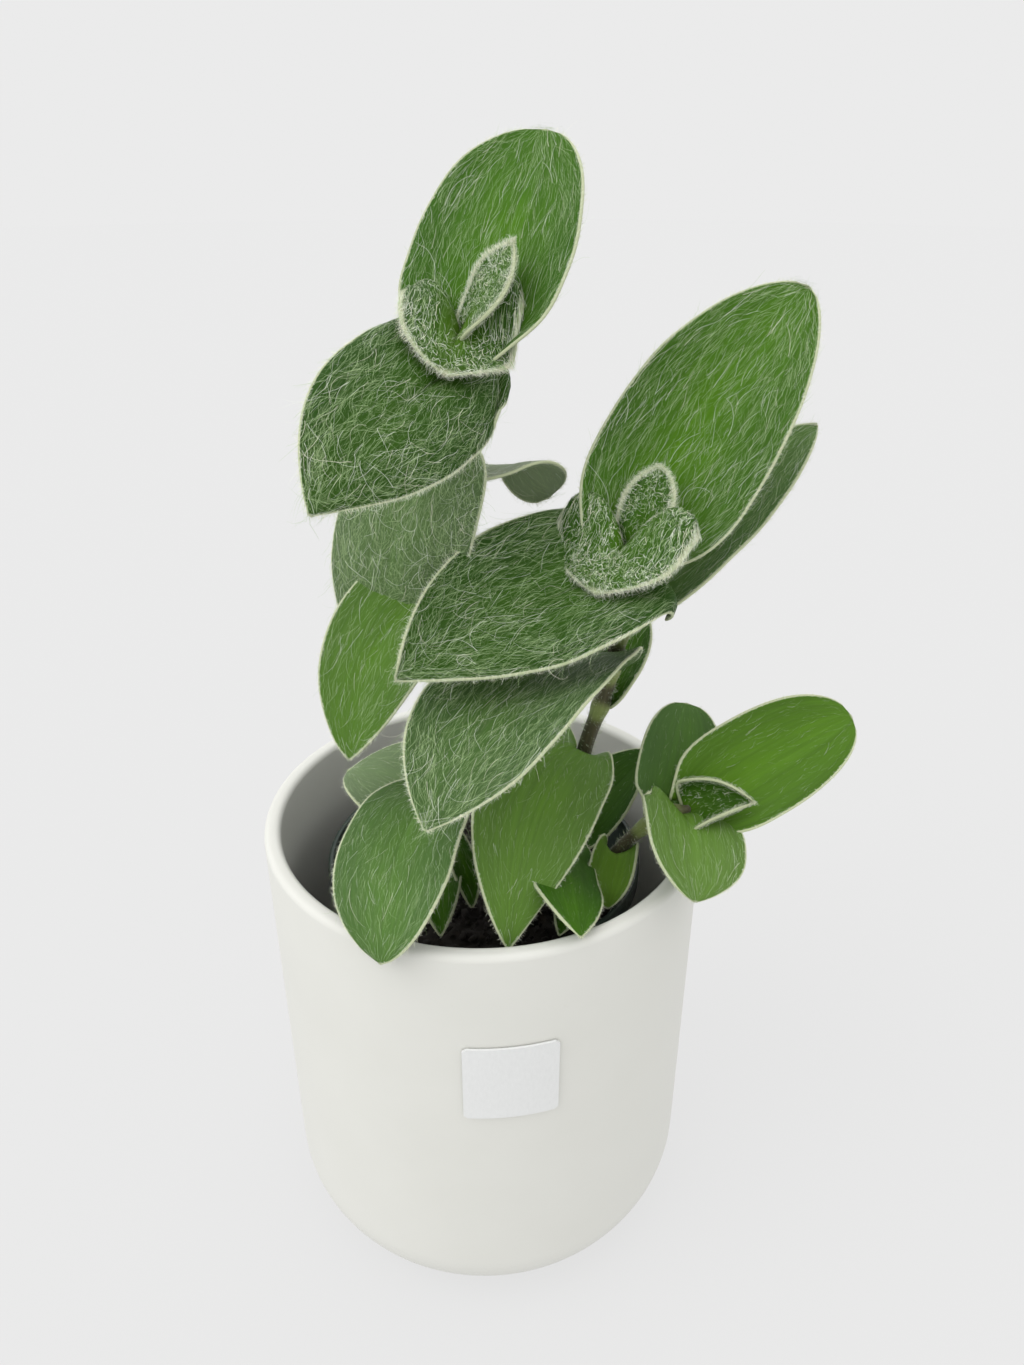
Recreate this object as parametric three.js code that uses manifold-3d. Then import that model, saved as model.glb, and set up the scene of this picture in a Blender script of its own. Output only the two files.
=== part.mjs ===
// A white velvet tradescantia in its nursery pot, standing in a white ceramic cover pot.
// Millimetres, +Z up, origin on the ground under the middle of the cover pot, front towards -Y.
import * as THREE from "three";
import { mergeVertices } from "three/addons/utils/BufferGeometryUtils.js";
import Module from "manifold-3d";

const wasm = await Module();
wasm.setup();

// Clearance between pieces that touch on the real plant
const GAP = 0.3;

// Ceramic cover pot
const POT = { radius: 60, height: 135, wall: 4.5, floor: 6, corner: 22, rim: 1.8, facets: 44 };
const POT_ARC_STEPS = 5;
const RIM_ARC_STEPS = 3;

// Blank label on the front of the cover pot
const LABEL = { size: 24, middle: 94.5, heading: -82.6, thickness: 0.6, steps: 6 };

// Plastic nursery pot: it stands on the floor of the cover pot
const NURSERY = {
  rimRadius: 44, rimHeight: 6, top: 120, bodyRadius: 42.4, footRadius: 34, wall: 1.4, chamfer: 1,
  facets: 40,
};
const DRAIN = { count: 5, radius: 4, circle: 20, facets: 12 };

// Soil: a low mound, with a plain hole for each stem
const SOIL = { level: 109, mound: 2, shoulder: 3, bevel: 1, clearance: 0.4, facets: 32 };
// Where the mound's slope changes: shares of its radius and of its height
const MOUND_BREAK = { radius: 0.55, height: 0.7 };

// Stems: route points from the bottom of the soil hole to the growing tip, and the radius
const STEM_SIDES = 8;
const STEM_STEP = 7;
const STEMS = {
  left: {
    radius: 2.2,
    route: [[-12, 12, 95], [-10, 10, 133], [-7, 8, 181], [-3, 4, 239], [-2, 2, 251], [-3, 0, 260]],
  },
  right: {
    radius: 2.2,
    route: [
      [21, 9, 95], [24, 8, 115], [27.5, 5, 148], [32, 3, 167], [34, 1, 179], [37, -2, 200], [36, -4, 212],
    ],
  },
  side: {
    radius: 1.9,
    route: [[22, -7, 95], [28, -10, 110], [35, -12, 126], [42, -14, 137], [48, -16, 143], [54, -18, 147]],
  },
  low: {
    radius: 2,
    route: [[-13, -4, 95], [-13, -5, 110], [-12, -7, 130], [-11, -9, 146]],
  },
};

// Leaf blades, from the youngest down. Lengths are in millimetres and angles in degrees.
// at: distance of the leaf's node along the stem
// heading: direction seen from above, 0 along +X and 90 along +Y
// rise, droop, curl: slope at the base, its fall by the tip, and a further fall of a curled tip
// length, width, widest, blunt: the outline, with the widest place as a share of the length
// roll, twist, sweep: turn about the midrib, further turn by the tip, and sideways bend
// cup, fold: bend across the blade, and angle of each half at the midrib
// clasp, hold: half-angle that the base wraps round the stem, and its distance from the stem's axis
// share, lobe, lift: width of the base as a share of the blade's, how far its lobes reach back past
// the stem, and the slope of that reach above level
// corner: how much of that reach the margin has
const BLADE = {
  roll: 0, twist: 0, droop: 30, curl: 0, cup: 14, fold: 8, sweep: 0, widest: 0.4, blunt: 0.85,
  clasp: 95, hold: 3.1, share: 0, lobe: 2, lift: 10, corner: 1,
};
const LEAVES = {
  left: [
    {
      at: 163, heading: 262, rise: 0, length: 16, width: 28, droop: 50, widest: 0.25, blunt: 0.95,
      cup: 0, roll: 27, clasp: 8, share: 0.95, lobe: 13.5, lift: 62, corner: 0.8,
    },
    {
      at: 159, heading: 49, rise: 66, length: 53, width: 42, droop: 10, blunt: 0.55, cup: 16,
      roll: -10, hold: 3.9,
    },
    {
      at: 154, heading: 237.2, rise: 7.5, length: 60, width: 34.7, droop: 50.1, widest: 0.41,
      blunt: 1.01, cup: -25, roll: 44.3, sweep: -15, clasp: 40, share: 0.59, lobe: 10, lift: 40.2,
      corner: 0.1,
    },
    { at: 149, heading: 101, rise: 24, length: 46, width: 22, droop: 20, cup: 12 },
    {
      at: 143.5, heading: 211.1, rise: -50.4, length: 73.3, width: 37.4, droop: 48.5, widest: 0.43,
      cup: -30, roll: 32.6, twist: 5.2, sweep: 40,
    },
    {
      at: 128, heading: 31, rise: 7, length: 30, width: 18, droop: -9, curl: 62, blunt: 0.45, cup: -12,
      roll: -9, twist: 60, sweep: 46,
    },
    { at: 105, heading: 228, rise: -8, length: 61, width: 28, droop: 75, cup: 6, roll: 20 },
    { at: 87, heading: 59, rise: 4, length: 46, width: 26, droop: 40, cup: 6 },
  ],
  right: [
    {
      at: 116, heading: 234, rise: -10, length: 17, width: 36, droop: 38, widest: 0.22, blunt: 1,
      cup: -16, roll: -8, clasp: 8, share: 0.95, lobe: 12.5, lift: 80, corner: 0.8,
    },
    {
      at: 111.5, heading: 27, rise: 58, length: 78, width: 41, droop: 10, blunt: 0.6, roll: -40,
      sweep: -30, hold: 3.9,
    },
    {
      at: 107, heading: 212.6, rise: -3.6, length: 66.8, width: 44.7, droop: 10.6, widest: 0.23,
      blunt: 1.01, cup: 15, roll: 18, twist: 20, sweep: 22.5, clasp: 40, share: 0.67, lobe: 7.5,
      lift: 34.5, corner: 0.1,
    },
    { at: 98, heading: 29, rise: 46, length: 71, width: 26, droop: 20, cup: 12, roll: -25 },
    {
      at: 85.5, heading: 231.5, rise: 22.8, length: 79.3, width: 36, droop: 67.2, widest: 0.57,
      blunt: 0.96, cup: 8, roll: -7.4, twist: 20, sweep: 13.9,
    },
    { at: 73, heading: 66, rise: 29, length: 30, width: 16, droop: -10 },
    {
      at: 53.5, heading: 251.2, rise: 23.9, length: 71.8, width: 31.2, droop: 83.8, blunt: 1.02,
      cup: -0.2, roll: 21.3, twist: 6.1, sweep: 25,
    },
    {
      at: 22.5, heading: 14.1, rise: 46, length: 34.8, width: 24.3, droop: -0.4, widest: 0.21,
      blunt: 0.65, cup: 12.9, roll: -27, twist: 22.9, sweep: 0.9,
    },
    {
      at: 22, heading: 269.3, rise: 34, length: 71, width: 20, droop: 33.6, widest: 0.65, blunt: 0.95,
      cup: -5.7, roll: 30, twist: -6.3, sweep: 21.4,
    },
  ],
  side: [
    { at: 60.5, heading: 19, rise: 31, length: 51, width: 28, droop: 15, blunt: 0.5, roll: -45 },
    {
      at: 57.5, heading: 268, rise: 14, length: 30, width: 29, droop: 55, widest: 0.5, blunt: 0.75,
      cup: 5, fold: 10, roll: 20, twist: 12, clasp: 8, share: 0.55, lobe: 4, lift: 20, corner: 0.6,
    },
    {
      at: 51.5, heading: 73.4, rise: 40.9, length: 36.1, width: 21.6, droop: 15.8, widest: 0.46,
      blunt: 0.5, cup: 15, roll: -4, twist: -8.3, sweep: 12, clasp: 75,
    },
    {
      at: 35, heading: 252, rise: 1, length: 20.1, width: 12.6, droop: 62.2, widest: 0.45, blunt: 0.88,
      cup: 17.2, roll: -9, twist: 1.8, sweep: 13.8,
    },
    { at: 18.5, heading: 250, rise: 44, length: 35, width: 11, droop: 50, clasp: 80 },
  ],
  low: [
    {
      at: 46.5, heading: 258.6, rise: 41.3, length: 61.9, width: 30, droop: 100.9, widest: 0.62,
      blunt: 0.7, cup: -1.2, roll: 5.6, twist: -30.8, sweep: 10.2,
    },
    {
      at: 39, heading: 156, rise: 45.6, length: 32.5, width: 28.5, droop: 67.5, widest: 0.42,
      blunt: 0.82, cup: 5.9, roll: 36.6, twist: -37.1, sweep: -6.3,
    },
    {
      at: 32, heading: 294, rise: 13.6, length: 26.3, width: 8.3, droop: 69.8, widest: 0.41,
      blunt: 0.79, cup: 20.7, roll: 10.1, sweep: -23,
    },
    { at: 24, heading: 274, rise: 34, length: 36, width: 12, droop: 60 },
  ],
};
// The youngest leaf of each stem, still folded, grows out of the stem's tip and is one piece with it
const BUDS = {
  left: {
    heading: 1.5, rise: 51.7, length: 25.2, width: 17, droop: -14.3, widest: 0.5, blunt: 1.08, cup: 10,
    fold: 5, roll: -6.8, twist: -28.6, sweep: 9,
  },
  right: {
    heading: 35.5, rise: 54.1, length: 23.4, width: 13.8, droop: -20.8, widest: 0.5, blunt: 0.82,
    cup: 5, fold: 16, roll: -6.1, twist: -15.6, sweep: 32.2,
  },
  side: {
    heading: 340.8, rise: 27.6, length: 19.1, width: 20.5, droop: 15.3, widest: 0.2, blunt: 1.08,
    cup: 103, fold: 0, roll: -48.6, twist: 0.4, sweep: -26.4,
  },
  low: { heading: 66, rise: 40, length: 13, width: 9, droop: -10, fold: 35 },
};
const BUD_ROOT = 2.5;
// Stems in the order that their leaves are laid: the first ones lie in front and keep their whole shape
const LEAF_ORDER = ["right", "left", "side", "low"];
const BUD_BASE = { hold: 1.2, clasp: 80, lobe: 0 };

// Thickness of a blade at the midrib and the edge, and half the width of its tip
const THICK = { midrib: 1.1, edge: 0.7 };
const TIP_HALF_WIDTH = 0.5;
// Grid lines across a blade: millimetres from the base, then this many equal steps to the tip
const BASE_STATIONS = [0, 2, 4, 7];
const BLADE_STEPS = 7;
// Leaves shorter than this have a coarser grid, unless their base is lobed
const SMALL_LEAF = 32;
// Distances from the base over which a blade leaves the stem, opens from its clasp and takes its fold
const BEND = 5;
const OPENING = 4.5;
const FOLDING = 6;
// Back edge of a lobed base: the power of the half sine that each lobe follows
const LOBE_POWER = 0.6;
// Share of the length over which the lobes fade
const LOBE_SPREAD = 0.3;
// Shares of the length where a curled blade starts to bend over, and over which it bends
const CURL_START = 0.4;
const CURL_SPAN = 0.25;
// Power of the outline's fall from its widest place to the tip
const TAPER = 2.2;
// Steps that a midrib is summed in
const RIB_STEPS = 200;
// Grid lines across each half of a blade, and where the last one before the tip lies
const ACROSS_STEPS = { small: 2, large: 3 };
const LAST_STATION = 0.97;

const COLOURS = {
  ceramic: { color: 0xeceae4, roughness: 0.55, metalness: 0 },
  label: { color: 0xf6f5f1, roughness: 0.7, metalness: 0 },
  plastic: { color: 0x1f4238, roughness: 0.5, metalness: 0 },
  soil: { color: 0x1d1814, roughness: 1, metalness: 0 },
  stem: { color: 0x6f7352, roughness: 0.8, metalness: 0 },
  leaf: { color: 0x5f8a4c, roughness: 0.85, metalness: 0 },
};

const degrees = THREE.MathUtils.degToRad;

function material(name) {
  return new THREE.MeshStandardMaterial(COLOURS[name]);
}

// A geometry with only positions, and its shared corners merged
function welded(geometry) {
  const bare = geometry.clone();
  bare.deleteAttribute("normal");
  bare.deleteAttribute("uv");
  return mergeVertices(bare, 1e-4);
}

function toSolid(geometry) {
  const closed = welded(geometry);
  return new wasm.Manifold(
    new wasm.Mesh({
      numProp: 3,
      vertProperties: new Float32Array(closed.attributes.position.array),
      triVerts: new Uint32Array(closed.index.array),
    }),
  );
}

function toGeometry(solid) {
  const mesh = solid.getMesh();
  const geometry = new THREE.BufferGeometry();
  geometry.setAttribute("position", new THREE.BufferAttribute(mesh.vertProperties, 3));
  geometry.setIndex(new THREE.BufferAttribute(mesh.triVerts, 1));
  geometry.computeVertexNormals();
  return geometry;
}

// A round body about Z from [radius, height] points that run up the outside and down the inside
function turned(points, facets) {
  const profile = points.map(([radius, height]) => new THREE.Vector2(radius, height));
  return new THREE.LatheGeometry(profile, facets).rotateX(Math.PI / 2);
}

// Points of a quarter arc about a centre, from one angle to another
function arc([x, y], radius, from, to, steps) {
  return Array.from({ length: steps + 1 }, (_, i) => {
    const angle = degrees(from + ((to - from) * i) / steps);
    return [x + radius * Math.cos(angle), y + radius * Math.sin(angle)];
  });
}

function coverPot() {
  const { radius, height, wall, floor, corner, rim, facets } = POT;
  const inside = radius - wall;
  const innerCorner = corner - wall;
  return turned(
    [
      [0, 0],
      ...arc([radius - corner, corner], corner, -90, 0, POT_ARC_STEPS),
      ...arc([radius - rim, height - rim], rim, 0, 90, RIM_ARC_STEPS),
      ...arc([inside + rim, height - rim], rim, 90, 180, RIM_ARC_STEPS),
      ...arc([inside - innerCorner, floor + innerCorner], innerCorner, 0, -90, POT_ARC_STEPS - 1),
      [0, floor],
    ],
    facets,
  );
}

// A thin square plate that follows the round wall of the pot
function label() {
  const { size, middle, heading, thickness, steps } = LABEL;
  const inner = POT.radius + GAP;
  const outer = inner + thickness;
  const half = size / 2 / inner;
  const outline = new THREE.Shape();
  for (let i = 0; i <= steps; i++) {
    const angle = degrees(heading) - half + (2 * half * i) / steps;
    outline[i ? "lineTo" : "moveTo"](outer * Math.cos(angle), outer * Math.sin(angle));
  }
  for (let i = steps; i >= 0; i--) {
    const angle = degrees(heading) - half + (2 * half * i) / steps;
    outline.lineTo(inner * Math.cos(angle), inner * Math.sin(angle));
  }
  const plate = new THREE.ExtrudeGeometry(outline, { depth: size, bevelEnabled: false });
  return plate.translate(0, 0, middle - size / 2);
}

function nurseryPot() {
  const { rimRadius, rimHeight, top, bodyRadius, footRadius, wall, chamfer, facets } = NURSERY;
  const foot = POT.floor + GAP;
  const cup = toSolid(
    turned(
      [
        [0, foot],
        [footRadius - chamfer, foot],
        [footRadius, foot + chamfer],
        [bodyRadius, top - rimHeight],
        [rimRadius, top - rimHeight],
        [rimRadius, top],
        [rimRadius - wall, top],
        [bodyRadius - wall, top - rimHeight],
        [footRadius - wall, foot + wall + chamfer],
        [footRadius - wall - chamfer, foot + wall],
        [0, foot + wall],
      ],
      facets,
    ),
  );
  let pot = cup;
  for (let i = 0; i < DRAIN.count; i++) {
    const hole = new THREE.CylinderGeometry(DRAIN.radius, DRAIN.radius, 4 * wall, DRAIN.facets);
    const angle = (2 * Math.PI * i) / DRAIN.count;
    hole.rotateX(Math.PI / 2);
    hole.translate(DRAIN.circle * Math.cos(angle), DRAIN.circle * Math.sin(angle), foot + wall / 2);
    pot = pot.subtract(toSolid(hole));
  }
  return toGeometry(pot);
}

// The inner radius of the nursery pot's wall at a height
function nurseryInside(height) {
  const { top, rimHeight, bodyRadius, footRadius, wall, chamfer } = NURSERY;
  const low = POT.floor + GAP + chamfer + wall;
  const share = (height - low) / (top - rimHeight - low);
  return footRadius + (bodyRadius - footRadius) * share - wall;
}

function soil() {
  const { level, mound, shoulder, bevel, clearance, facets } = SOIL;
  const low = POT.floor + GAP + NURSERY.wall + clearance;
  const foot = nurseryInside(low) - clearance;
  const edge = nurseryInside(level) - clearance;
  let body = toSolid(
    turned(
      [
        [0, low],
        [foot - shoulder, low],
        [foot, low + shoulder],
        [edge, level - bevel],
        [edge - shoulder, level],
        [edge * MOUND_BREAK.radius, level + mound * MOUND_BREAK.height],
        [0, level + mound],
      ],
      facets,
    ),
  );
  for (const name of Object.keys(STEMS)) {
    body = body.subtract(toSolid(stemTube(name, GAP)));
  }
  return toGeometry(body);
}

function stemCurve(name) {
  const points = STEMS[name].route.map((p) => new THREE.Vector3(...p));
  return new THREE.CatmullRomCurve3(points, false, "catmullrom", 0.5);
}

// The stem's tube; grown by the extra radius, and lengthened by it at the foot, it is the hole's cutter
function stemTube(name, extra = 0) {
  const radius = STEMS[name].radius + extra;
  const points = STEMS[name].route.map((p) => new THREE.Vector3(...p));
  if (extra) {
    const foot = points[0].clone().sub(points[1]).setLength(extra);
    points[0].add(foot);
  }
  const curve = new THREE.CatmullRomCurve3(points, false, "catmullrom", 0.5);
  const section = new THREE.Shape();
  for (let i = 0; i < STEM_SIDES; i++) {
    const angle = (2 * Math.PI * i) / STEM_SIDES;
    section[i ? "lineTo" : "moveTo"](radius * Math.cos(angle), radius * Math.sin(angle));
  }
  section.closePath();
  const steps = Math.round(curve.getLength() / STEM_STEP);
  return new THREE.ExtrudeGeometry(section, { steps, extrudePath: curve });
}

// Half-width of the outline at a share of the length, as a share of the greatest half-width
function outline(along, { widest, blunt }, base) {
  if (along > widest) {
    const past = (along - widest) / (1 - widest);
    return (1 - past ** TAPER) ** blunt;
  }
  return 1 - (1 - base) * ((widest - along) / widest) ** 3;
}

// Direction of the midrib, across and up out of the upper face, at a share of the length
function bladeFrame(leaf, stemDirection, along) {
  const curled = Math.min(1, Math.max(0, (along - CURL_START) / CURL_SPAN));
  const slope = degrees(leaf.rise - leaf.droop * along - leaf.curl * curled);
  const turn = degrees(leaf.heading + leaf.sweep * (along - 0.5));
  const flat = new THREE.Vector3(Math.cos(turn), Math.sin(turn), 0);
  const ahead = flat.clone().multiplyScalar(Math.cos(slope)).setZ(Math.sin(slope));
  const up = flat.clone().multiplyScalar(-Math.sin(slope)).setZ(Math.cos(slope));
  const across = ahead.clone().cross(up).applyAxisAngle(ahead, -degrees(leaf.roll + leaf.twist * along));
  const clinging = Math.exp(-(((along * leaf.length) / BEND) ** 2));
  ahead.lerp(stemDirection, clinging).normalize();
  across.addScaledVector(ahead, -across.dot(ahead)).normalize();
  return { ahead, across, up: across.clone().cross(ahead) };
}

// Midrib points at the given shares of the length, summed in short steps
function midrib(leaf, start, stemDirection, shares) {
  const points = [start.clone()];
  for (let i = 0; i < RIB_STEPS; i++) {
    const here = bladeFrame(leaf, stemDirection, i / RIB_STEPS).ahead;
    const next = bladeFrame(leaf, stemDirection, (i + 1) / RIB_STEPS).ahead;
    const step = here.add(next).multiplyScalar(leaf.length / RIB_STEPS / 2);
    points.push(points[i].clone().add(step));
  }
  return shares.map((share) => {
    const i = Math.min(RIB_STEPS - 1, Math.floor(share * RIB_STEPS));
    return points[i].clone().lerp(points[i + 1], share * RIB_STEPS - i);
  });
}

// The shares of the length and width where the blade's grid lines lie
function stations(leaf) {
  const small = leaf.length < SMALL_LEAF && !leaf.share;
  const steps = small ? BLADE_STEPS - 2 : BLADE_STEPS;
  const near = BASE_STATIONS.map((mm) => mm / leaf.length);
  const last = near[near.length - 1];
  const along = [...near];
  for (let i = 1; i <= steps; i++) along.push(last + ((LAST_STATION - last) * i) / steps);
  along.push(1);
  const side = small ? ACROSS_STEPS.small : ACROSS_STEPS.large;
  const across = Array.from({ length: 2 * side + 1 }, (_, i) => i / side - 1);
  return { along, across };
}

// The middle surface of a blade as rows of points, from the base to the tip
function bladeRows(leaf, curve) {
  const reach = curve.getLength();
  const node = curve.getPointAt(leaf.at / reach);
  const stemDirection = curve.getTangentAt(leaf.at / reach);
  const { along, across } = stations(leaf);
  const atBase = bladeFrame(leaf, stemDirection, 0);
  const start = node.clone().addScaledVector(atBase.up, -leaf.hold);
  const rib = midrib(leaf, start, stemDirection, along);
  const half = leaf.width / 2;
  const clasp = degrees(leaf.clasp);
  const cup = degrees(leaf.cup);
  const baseHalf = Math.max(clasp * leaf.hold, leaf.share * half);
  const turn = degrees(leaf.heading);
  const lift = degrees(leaf.lift);
  const back = new THREE.Vector3(-Math.cos(turn), -Math.sin(turn), Math.tan(lift)).normalize();
  return along.map((share, i) => {
    const frame = bladeFrame(leaf, stemDirection, share);
    const distance = share * leaf.length;
    const settled = 1 - Math.exp(-((distance / FOLDING) ** 2));
    let reachAcross = half * outline(share, leaf, Math.min(1, baseHalf / half));
    if (baseHalf > half) reachAcross += (baseHalf - half) * (1 - settled);
    reachAcross = Math.max(reachAcross, TIP_HALF_WIDTH);
    const bend = cup + (clasp - cup) * Math.exp(-((distance / OPENING) ** 1.5)) || 1e-6;
    const fold = degrees(leaf.fold) * (1 - share / 2) * settled;
    return across.map((position) => {
      const size = Math.abs(position);
      const out = (reachAcross * Math.sin(bend * size)) / bend;
      const high = (reachAcross * (1 - Math.cos(bend * size))) / bend;
      const round = leaf.share ? Math.sin(Math.PI * size) ** LOBE_POWER : 0;
      const profile = round + leaf.corner * size ** 2;
      const lobe = leaf.lobe * profile * Math.exp(-((share / LOBE_SPREAD) ** 2));
      return rib[i]
        .clone()
        .addScaledVector(frame.across, Math.sign(position) * (out * Math.cos(fold) - high * Math.sin(fold)))
        .addScaledVector(frame.up, out * Math.sin(fold) + high * Math.cos(fold))
        .addScaledVector(back, lobe);
    });
  });
}

// Moves the rim of a blade's rows outwards
function spread(rows, distance) {
  const push = (point, inner) => point.add(point.clone().sub(inner).setLength(distance));
  const last = rows.length - 1;
  for (const row of rows) {
    push(row[0], row[1]);
    push(row[row.length - 1], row[row.length - 2]);
  }
  rows[0].forEach((point, j) => push(point, rows[1][j]));
  rows[last].forEach((point, j) => push(point, rows[last - 1][j]));
}

// A closed blade: two faces on either side of the middle surface, split into triangles alike.
// Grown by an extra distance on every side, it is the space that its neighbours keep clear of.
function blade(leaf, curve, extra = 0) {
  const rows = bladeRows(leaf, curve);
  if (extra) spread(rows, extra);
  const wide = rows[0].length;
  const upper = [];
  const lower = [];
  rows.forEach((row, i) =>
    row.forEach((point, j) => {
      const ahead = rows[Math.min(i + 1, rows.length - 1)][j].clone().sub(rows[Math.max(i - 1, 0)][j]);
      const side = row[Math.min(j + 1, wide - 1)].clone().sub(row[Math.max(j - 1, 0)]);
      const normal = side.cross(ahead).normalize();
      const edge = Math.abs((2 * j) / (wide - 1) - 1);
      const half = (THICK.midrib + (THICK.edge - THICK.midrib) * edge) / 2 + extra;
      upper.push(point.clone().addScaledVector(normal, half));
      lower.push(point.clone().addScaledVector(normal, -half));
    }),
  );
  const count = upper.length;
  const index = [];
  const quad = (a, b, c, d) => index.push(a, b, c, a, c, d);
  const at = (i, j) => i * wide + j;
  for (let i = 0; i < rows.length - 1; i++) {
    for (let j = 0; j < wide - 1; j++) {
      const [a, b, c, d] = [at(i, j), at(i, j + 1), at(i + 1, j + 1), at(i + 1, j)];
      const leftHalf = j < (wide - 1) / 2;
      if (leftHalf) {
        index.push(a, b, c, a, c, d);
        index.push(a + count, c + count, b + count, a + count, d + count, c + count);
      } else {
        index.push(a, b, d, b, c, d);
        index.push(a + count, d + count, b + count, b + count, d + count, c + count);
      }
    }
  }
  for (let i = 0; i < rows.length - 1; i++) {
    const right = wide - 1;
    quad(at(i, 0), at(i + 1, 0), at(i + 1, 0) + count, at(i, 0) + count);
    quad(at(i, right), at(i, right) + count, at(i + 1, right) + count, at(i + 1, right));
  }
  for (let j = 0; j < wide - 1; j++) {
    const end = rows.length - 1;
    quad(at(0, j), at(0, j) + count, at(0, j + 1) + count, at(0, j + 1));
    quad(at(end, j), at(end, j + 1), at(end, j + 1) + count, at(end, j) + count);
  }
  const geometry = new THREE.BufferGeometry();
  const points = [...upper, ...lower].flatMap((p) => [p.x, p.y, p.z]);
  geometry.setAttribute("position", new THREE.BufferAttribute(new Float32Array(points), 3));
  geometry.setIndex(index);
  geometry.computeVertexNormals();
  return geometry;
}

// A stem with its youngest folded leaf rising out of the tip
function stemWithBud(name, extra = 0) {
  const curve = stemCurve(name);
  const bud = { ...BLADE, ...BUDS[name], ...BUD_BASE, at: curve.getLength() - BUD_ROOT };
  return toSolid(stemTube(name, extra)).add(toSolid(blade(bud, curve, extra)));
}

function boxesMeet(one, other) {
  const [a, b] = [one.boundingBox(), other.boundingBox()];
  return [0, 1, 2].every((k) => a.min[k] <= b.max[k] && b.min[k] <= a.max[k]);
}

// What is left of a solid clear of its grown neighbours: its largest body
function clearOf(solid, neighbours) {
  let left = solid;
  for (const other of neighbours) {
    if (boxesMeet(left, other)) left = left.subtract(other);
  }
  return left.decompose().reduce((best, body) => (body.volume() > best.volume() ? body : best));
}

function mesh(name, geometry, look) {
  const made = new THREE.Mesh(geometry, material(look));
  made.name = name;
  return made;
}

// Every younger leaf sits inside the base of the older one below it, so the older one is cut clear.
// A leaf that leans on one of another stem is cut clear of it too.
const plant = new THREE.Group();
const placed = [];
for (const name of Object.keys(STEMS)) {
  plant.add(mesh(`stem_${name}`, toGeometry(stemWithBud(name)), "stem"));
  placed.push(stemWithBud(name, GAP));
}
for (const name of LEAF_ORDER) {
  const curve = stemCurve(name);
  LEAVES[name].forEach((values, i) => {
    const leaf = { ...BLADE, ...values };
    const solid = clearOf(toSolid(blade(leaf, curve)), placed);
    plant.add(mesh(`leaf_${name}_${i + 1}`, toGeometry(solid), "leaf"));
    placed.push(toSolid(blade(leaf, curve, GAP)));
  });
}

const part = new THREE.Group();
part.add(mesh("cover_pot", coverPot(), "ceramic"));
part.add(mesh("blank_label", label(), "label"));
part.add(mesh("nursery_pot", nurseryPot(), "plastic"));
part.add(mesh("soil", soil(), "soil"));
part.add(plant);

export default part;
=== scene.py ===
import math

import bmesh
import bpy
import numpy as np
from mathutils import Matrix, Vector


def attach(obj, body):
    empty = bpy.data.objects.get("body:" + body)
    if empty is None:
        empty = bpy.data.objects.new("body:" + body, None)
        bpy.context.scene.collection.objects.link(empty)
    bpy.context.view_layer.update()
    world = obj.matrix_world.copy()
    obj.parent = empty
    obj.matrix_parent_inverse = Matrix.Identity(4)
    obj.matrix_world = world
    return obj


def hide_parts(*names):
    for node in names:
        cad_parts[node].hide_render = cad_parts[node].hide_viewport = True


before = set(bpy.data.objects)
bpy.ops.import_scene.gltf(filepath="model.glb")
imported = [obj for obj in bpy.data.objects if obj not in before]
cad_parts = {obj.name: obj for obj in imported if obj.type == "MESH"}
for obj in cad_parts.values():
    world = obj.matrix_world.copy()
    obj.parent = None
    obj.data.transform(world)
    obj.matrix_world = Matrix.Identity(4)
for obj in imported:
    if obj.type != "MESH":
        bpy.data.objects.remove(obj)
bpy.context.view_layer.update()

# Sizes in this file are millimetres; MM turns them into metres where a mesh is made
MM = 0.001
SEED = 3080

# Camera of the photograph: place, pitch below level, and focal length on a 36 mm frame height
CAMERA = {"place": (7.9, -235.3, 301.2), "pitch": 28.4, "lens": 27.06, "frame": 36}

# Soft light: the even surroundings, and a wide lamp from the upper left
SURROUND = {"level": 0.83, "above": 1.35, "from": 0.15}
LAMP = {"strength": 0.95, "width": 50, "tilt": 42, "turn": -62}
FLOOR = {"radius": 4000, "level": -0.05, "facets": 64, "own_light": 0.66, "albedo": 0.12}

# The holder, its label, the inner pot with its drain holes, and the soil with its mound and crumbs
POT = {"radius": 60, "height": 135, "wall": 4.5, "floor": 6, "corner": 22, "rim": 1.8, "facets": 192}
LABEL = {
    "size": 24, "middle": 94.5, "heading": -82.6, "gap": 0.3, "thickness": 0.6, "corner": 0.8,
    "columns": 24,
}
NURSERY = {
    "rim_radius": 44, "rim_height": 6, "top": 120, "body_radius": 42.4, "foot_radius": 34,
    "wall": 1.4, "foot": 6.3, "corner": 1.5, "facets": 160,
}
DRAIN = {"count": 5, "radius": 4, "circle": 20, "facets": 32, "past": 2}
SOIL = {
    "low": 8.1, "level": 109, "mound": 2, "shoulder": 3, "gap": 0.4, "rings": 40, "facets": 144,
}
# The soil's surface: how far it lies below its level, its waves as height and length, its roughness,
# the depth and width of the dip at a stem, and its greatest height above the mound
CRUST = {"sunk": 0.6, "waves": ((0.75, 7), (0.45, 2.6)), "rough": 0.12, "dip": (1.6, 4), "highest": 1.5}
# Loose crumbs: their radius as least and more, their distance from the wall, how far their middles
# stand up as a share of the radius, and how uneven and how long they are
CRUMBS = {
    "count": 1500, "radius": (0.35, 1.25), "margin": 1.8, "up": 0.25, "uneven": (0.6, 1.25),
    "stretch": (0.6, 1.3),
}

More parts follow.
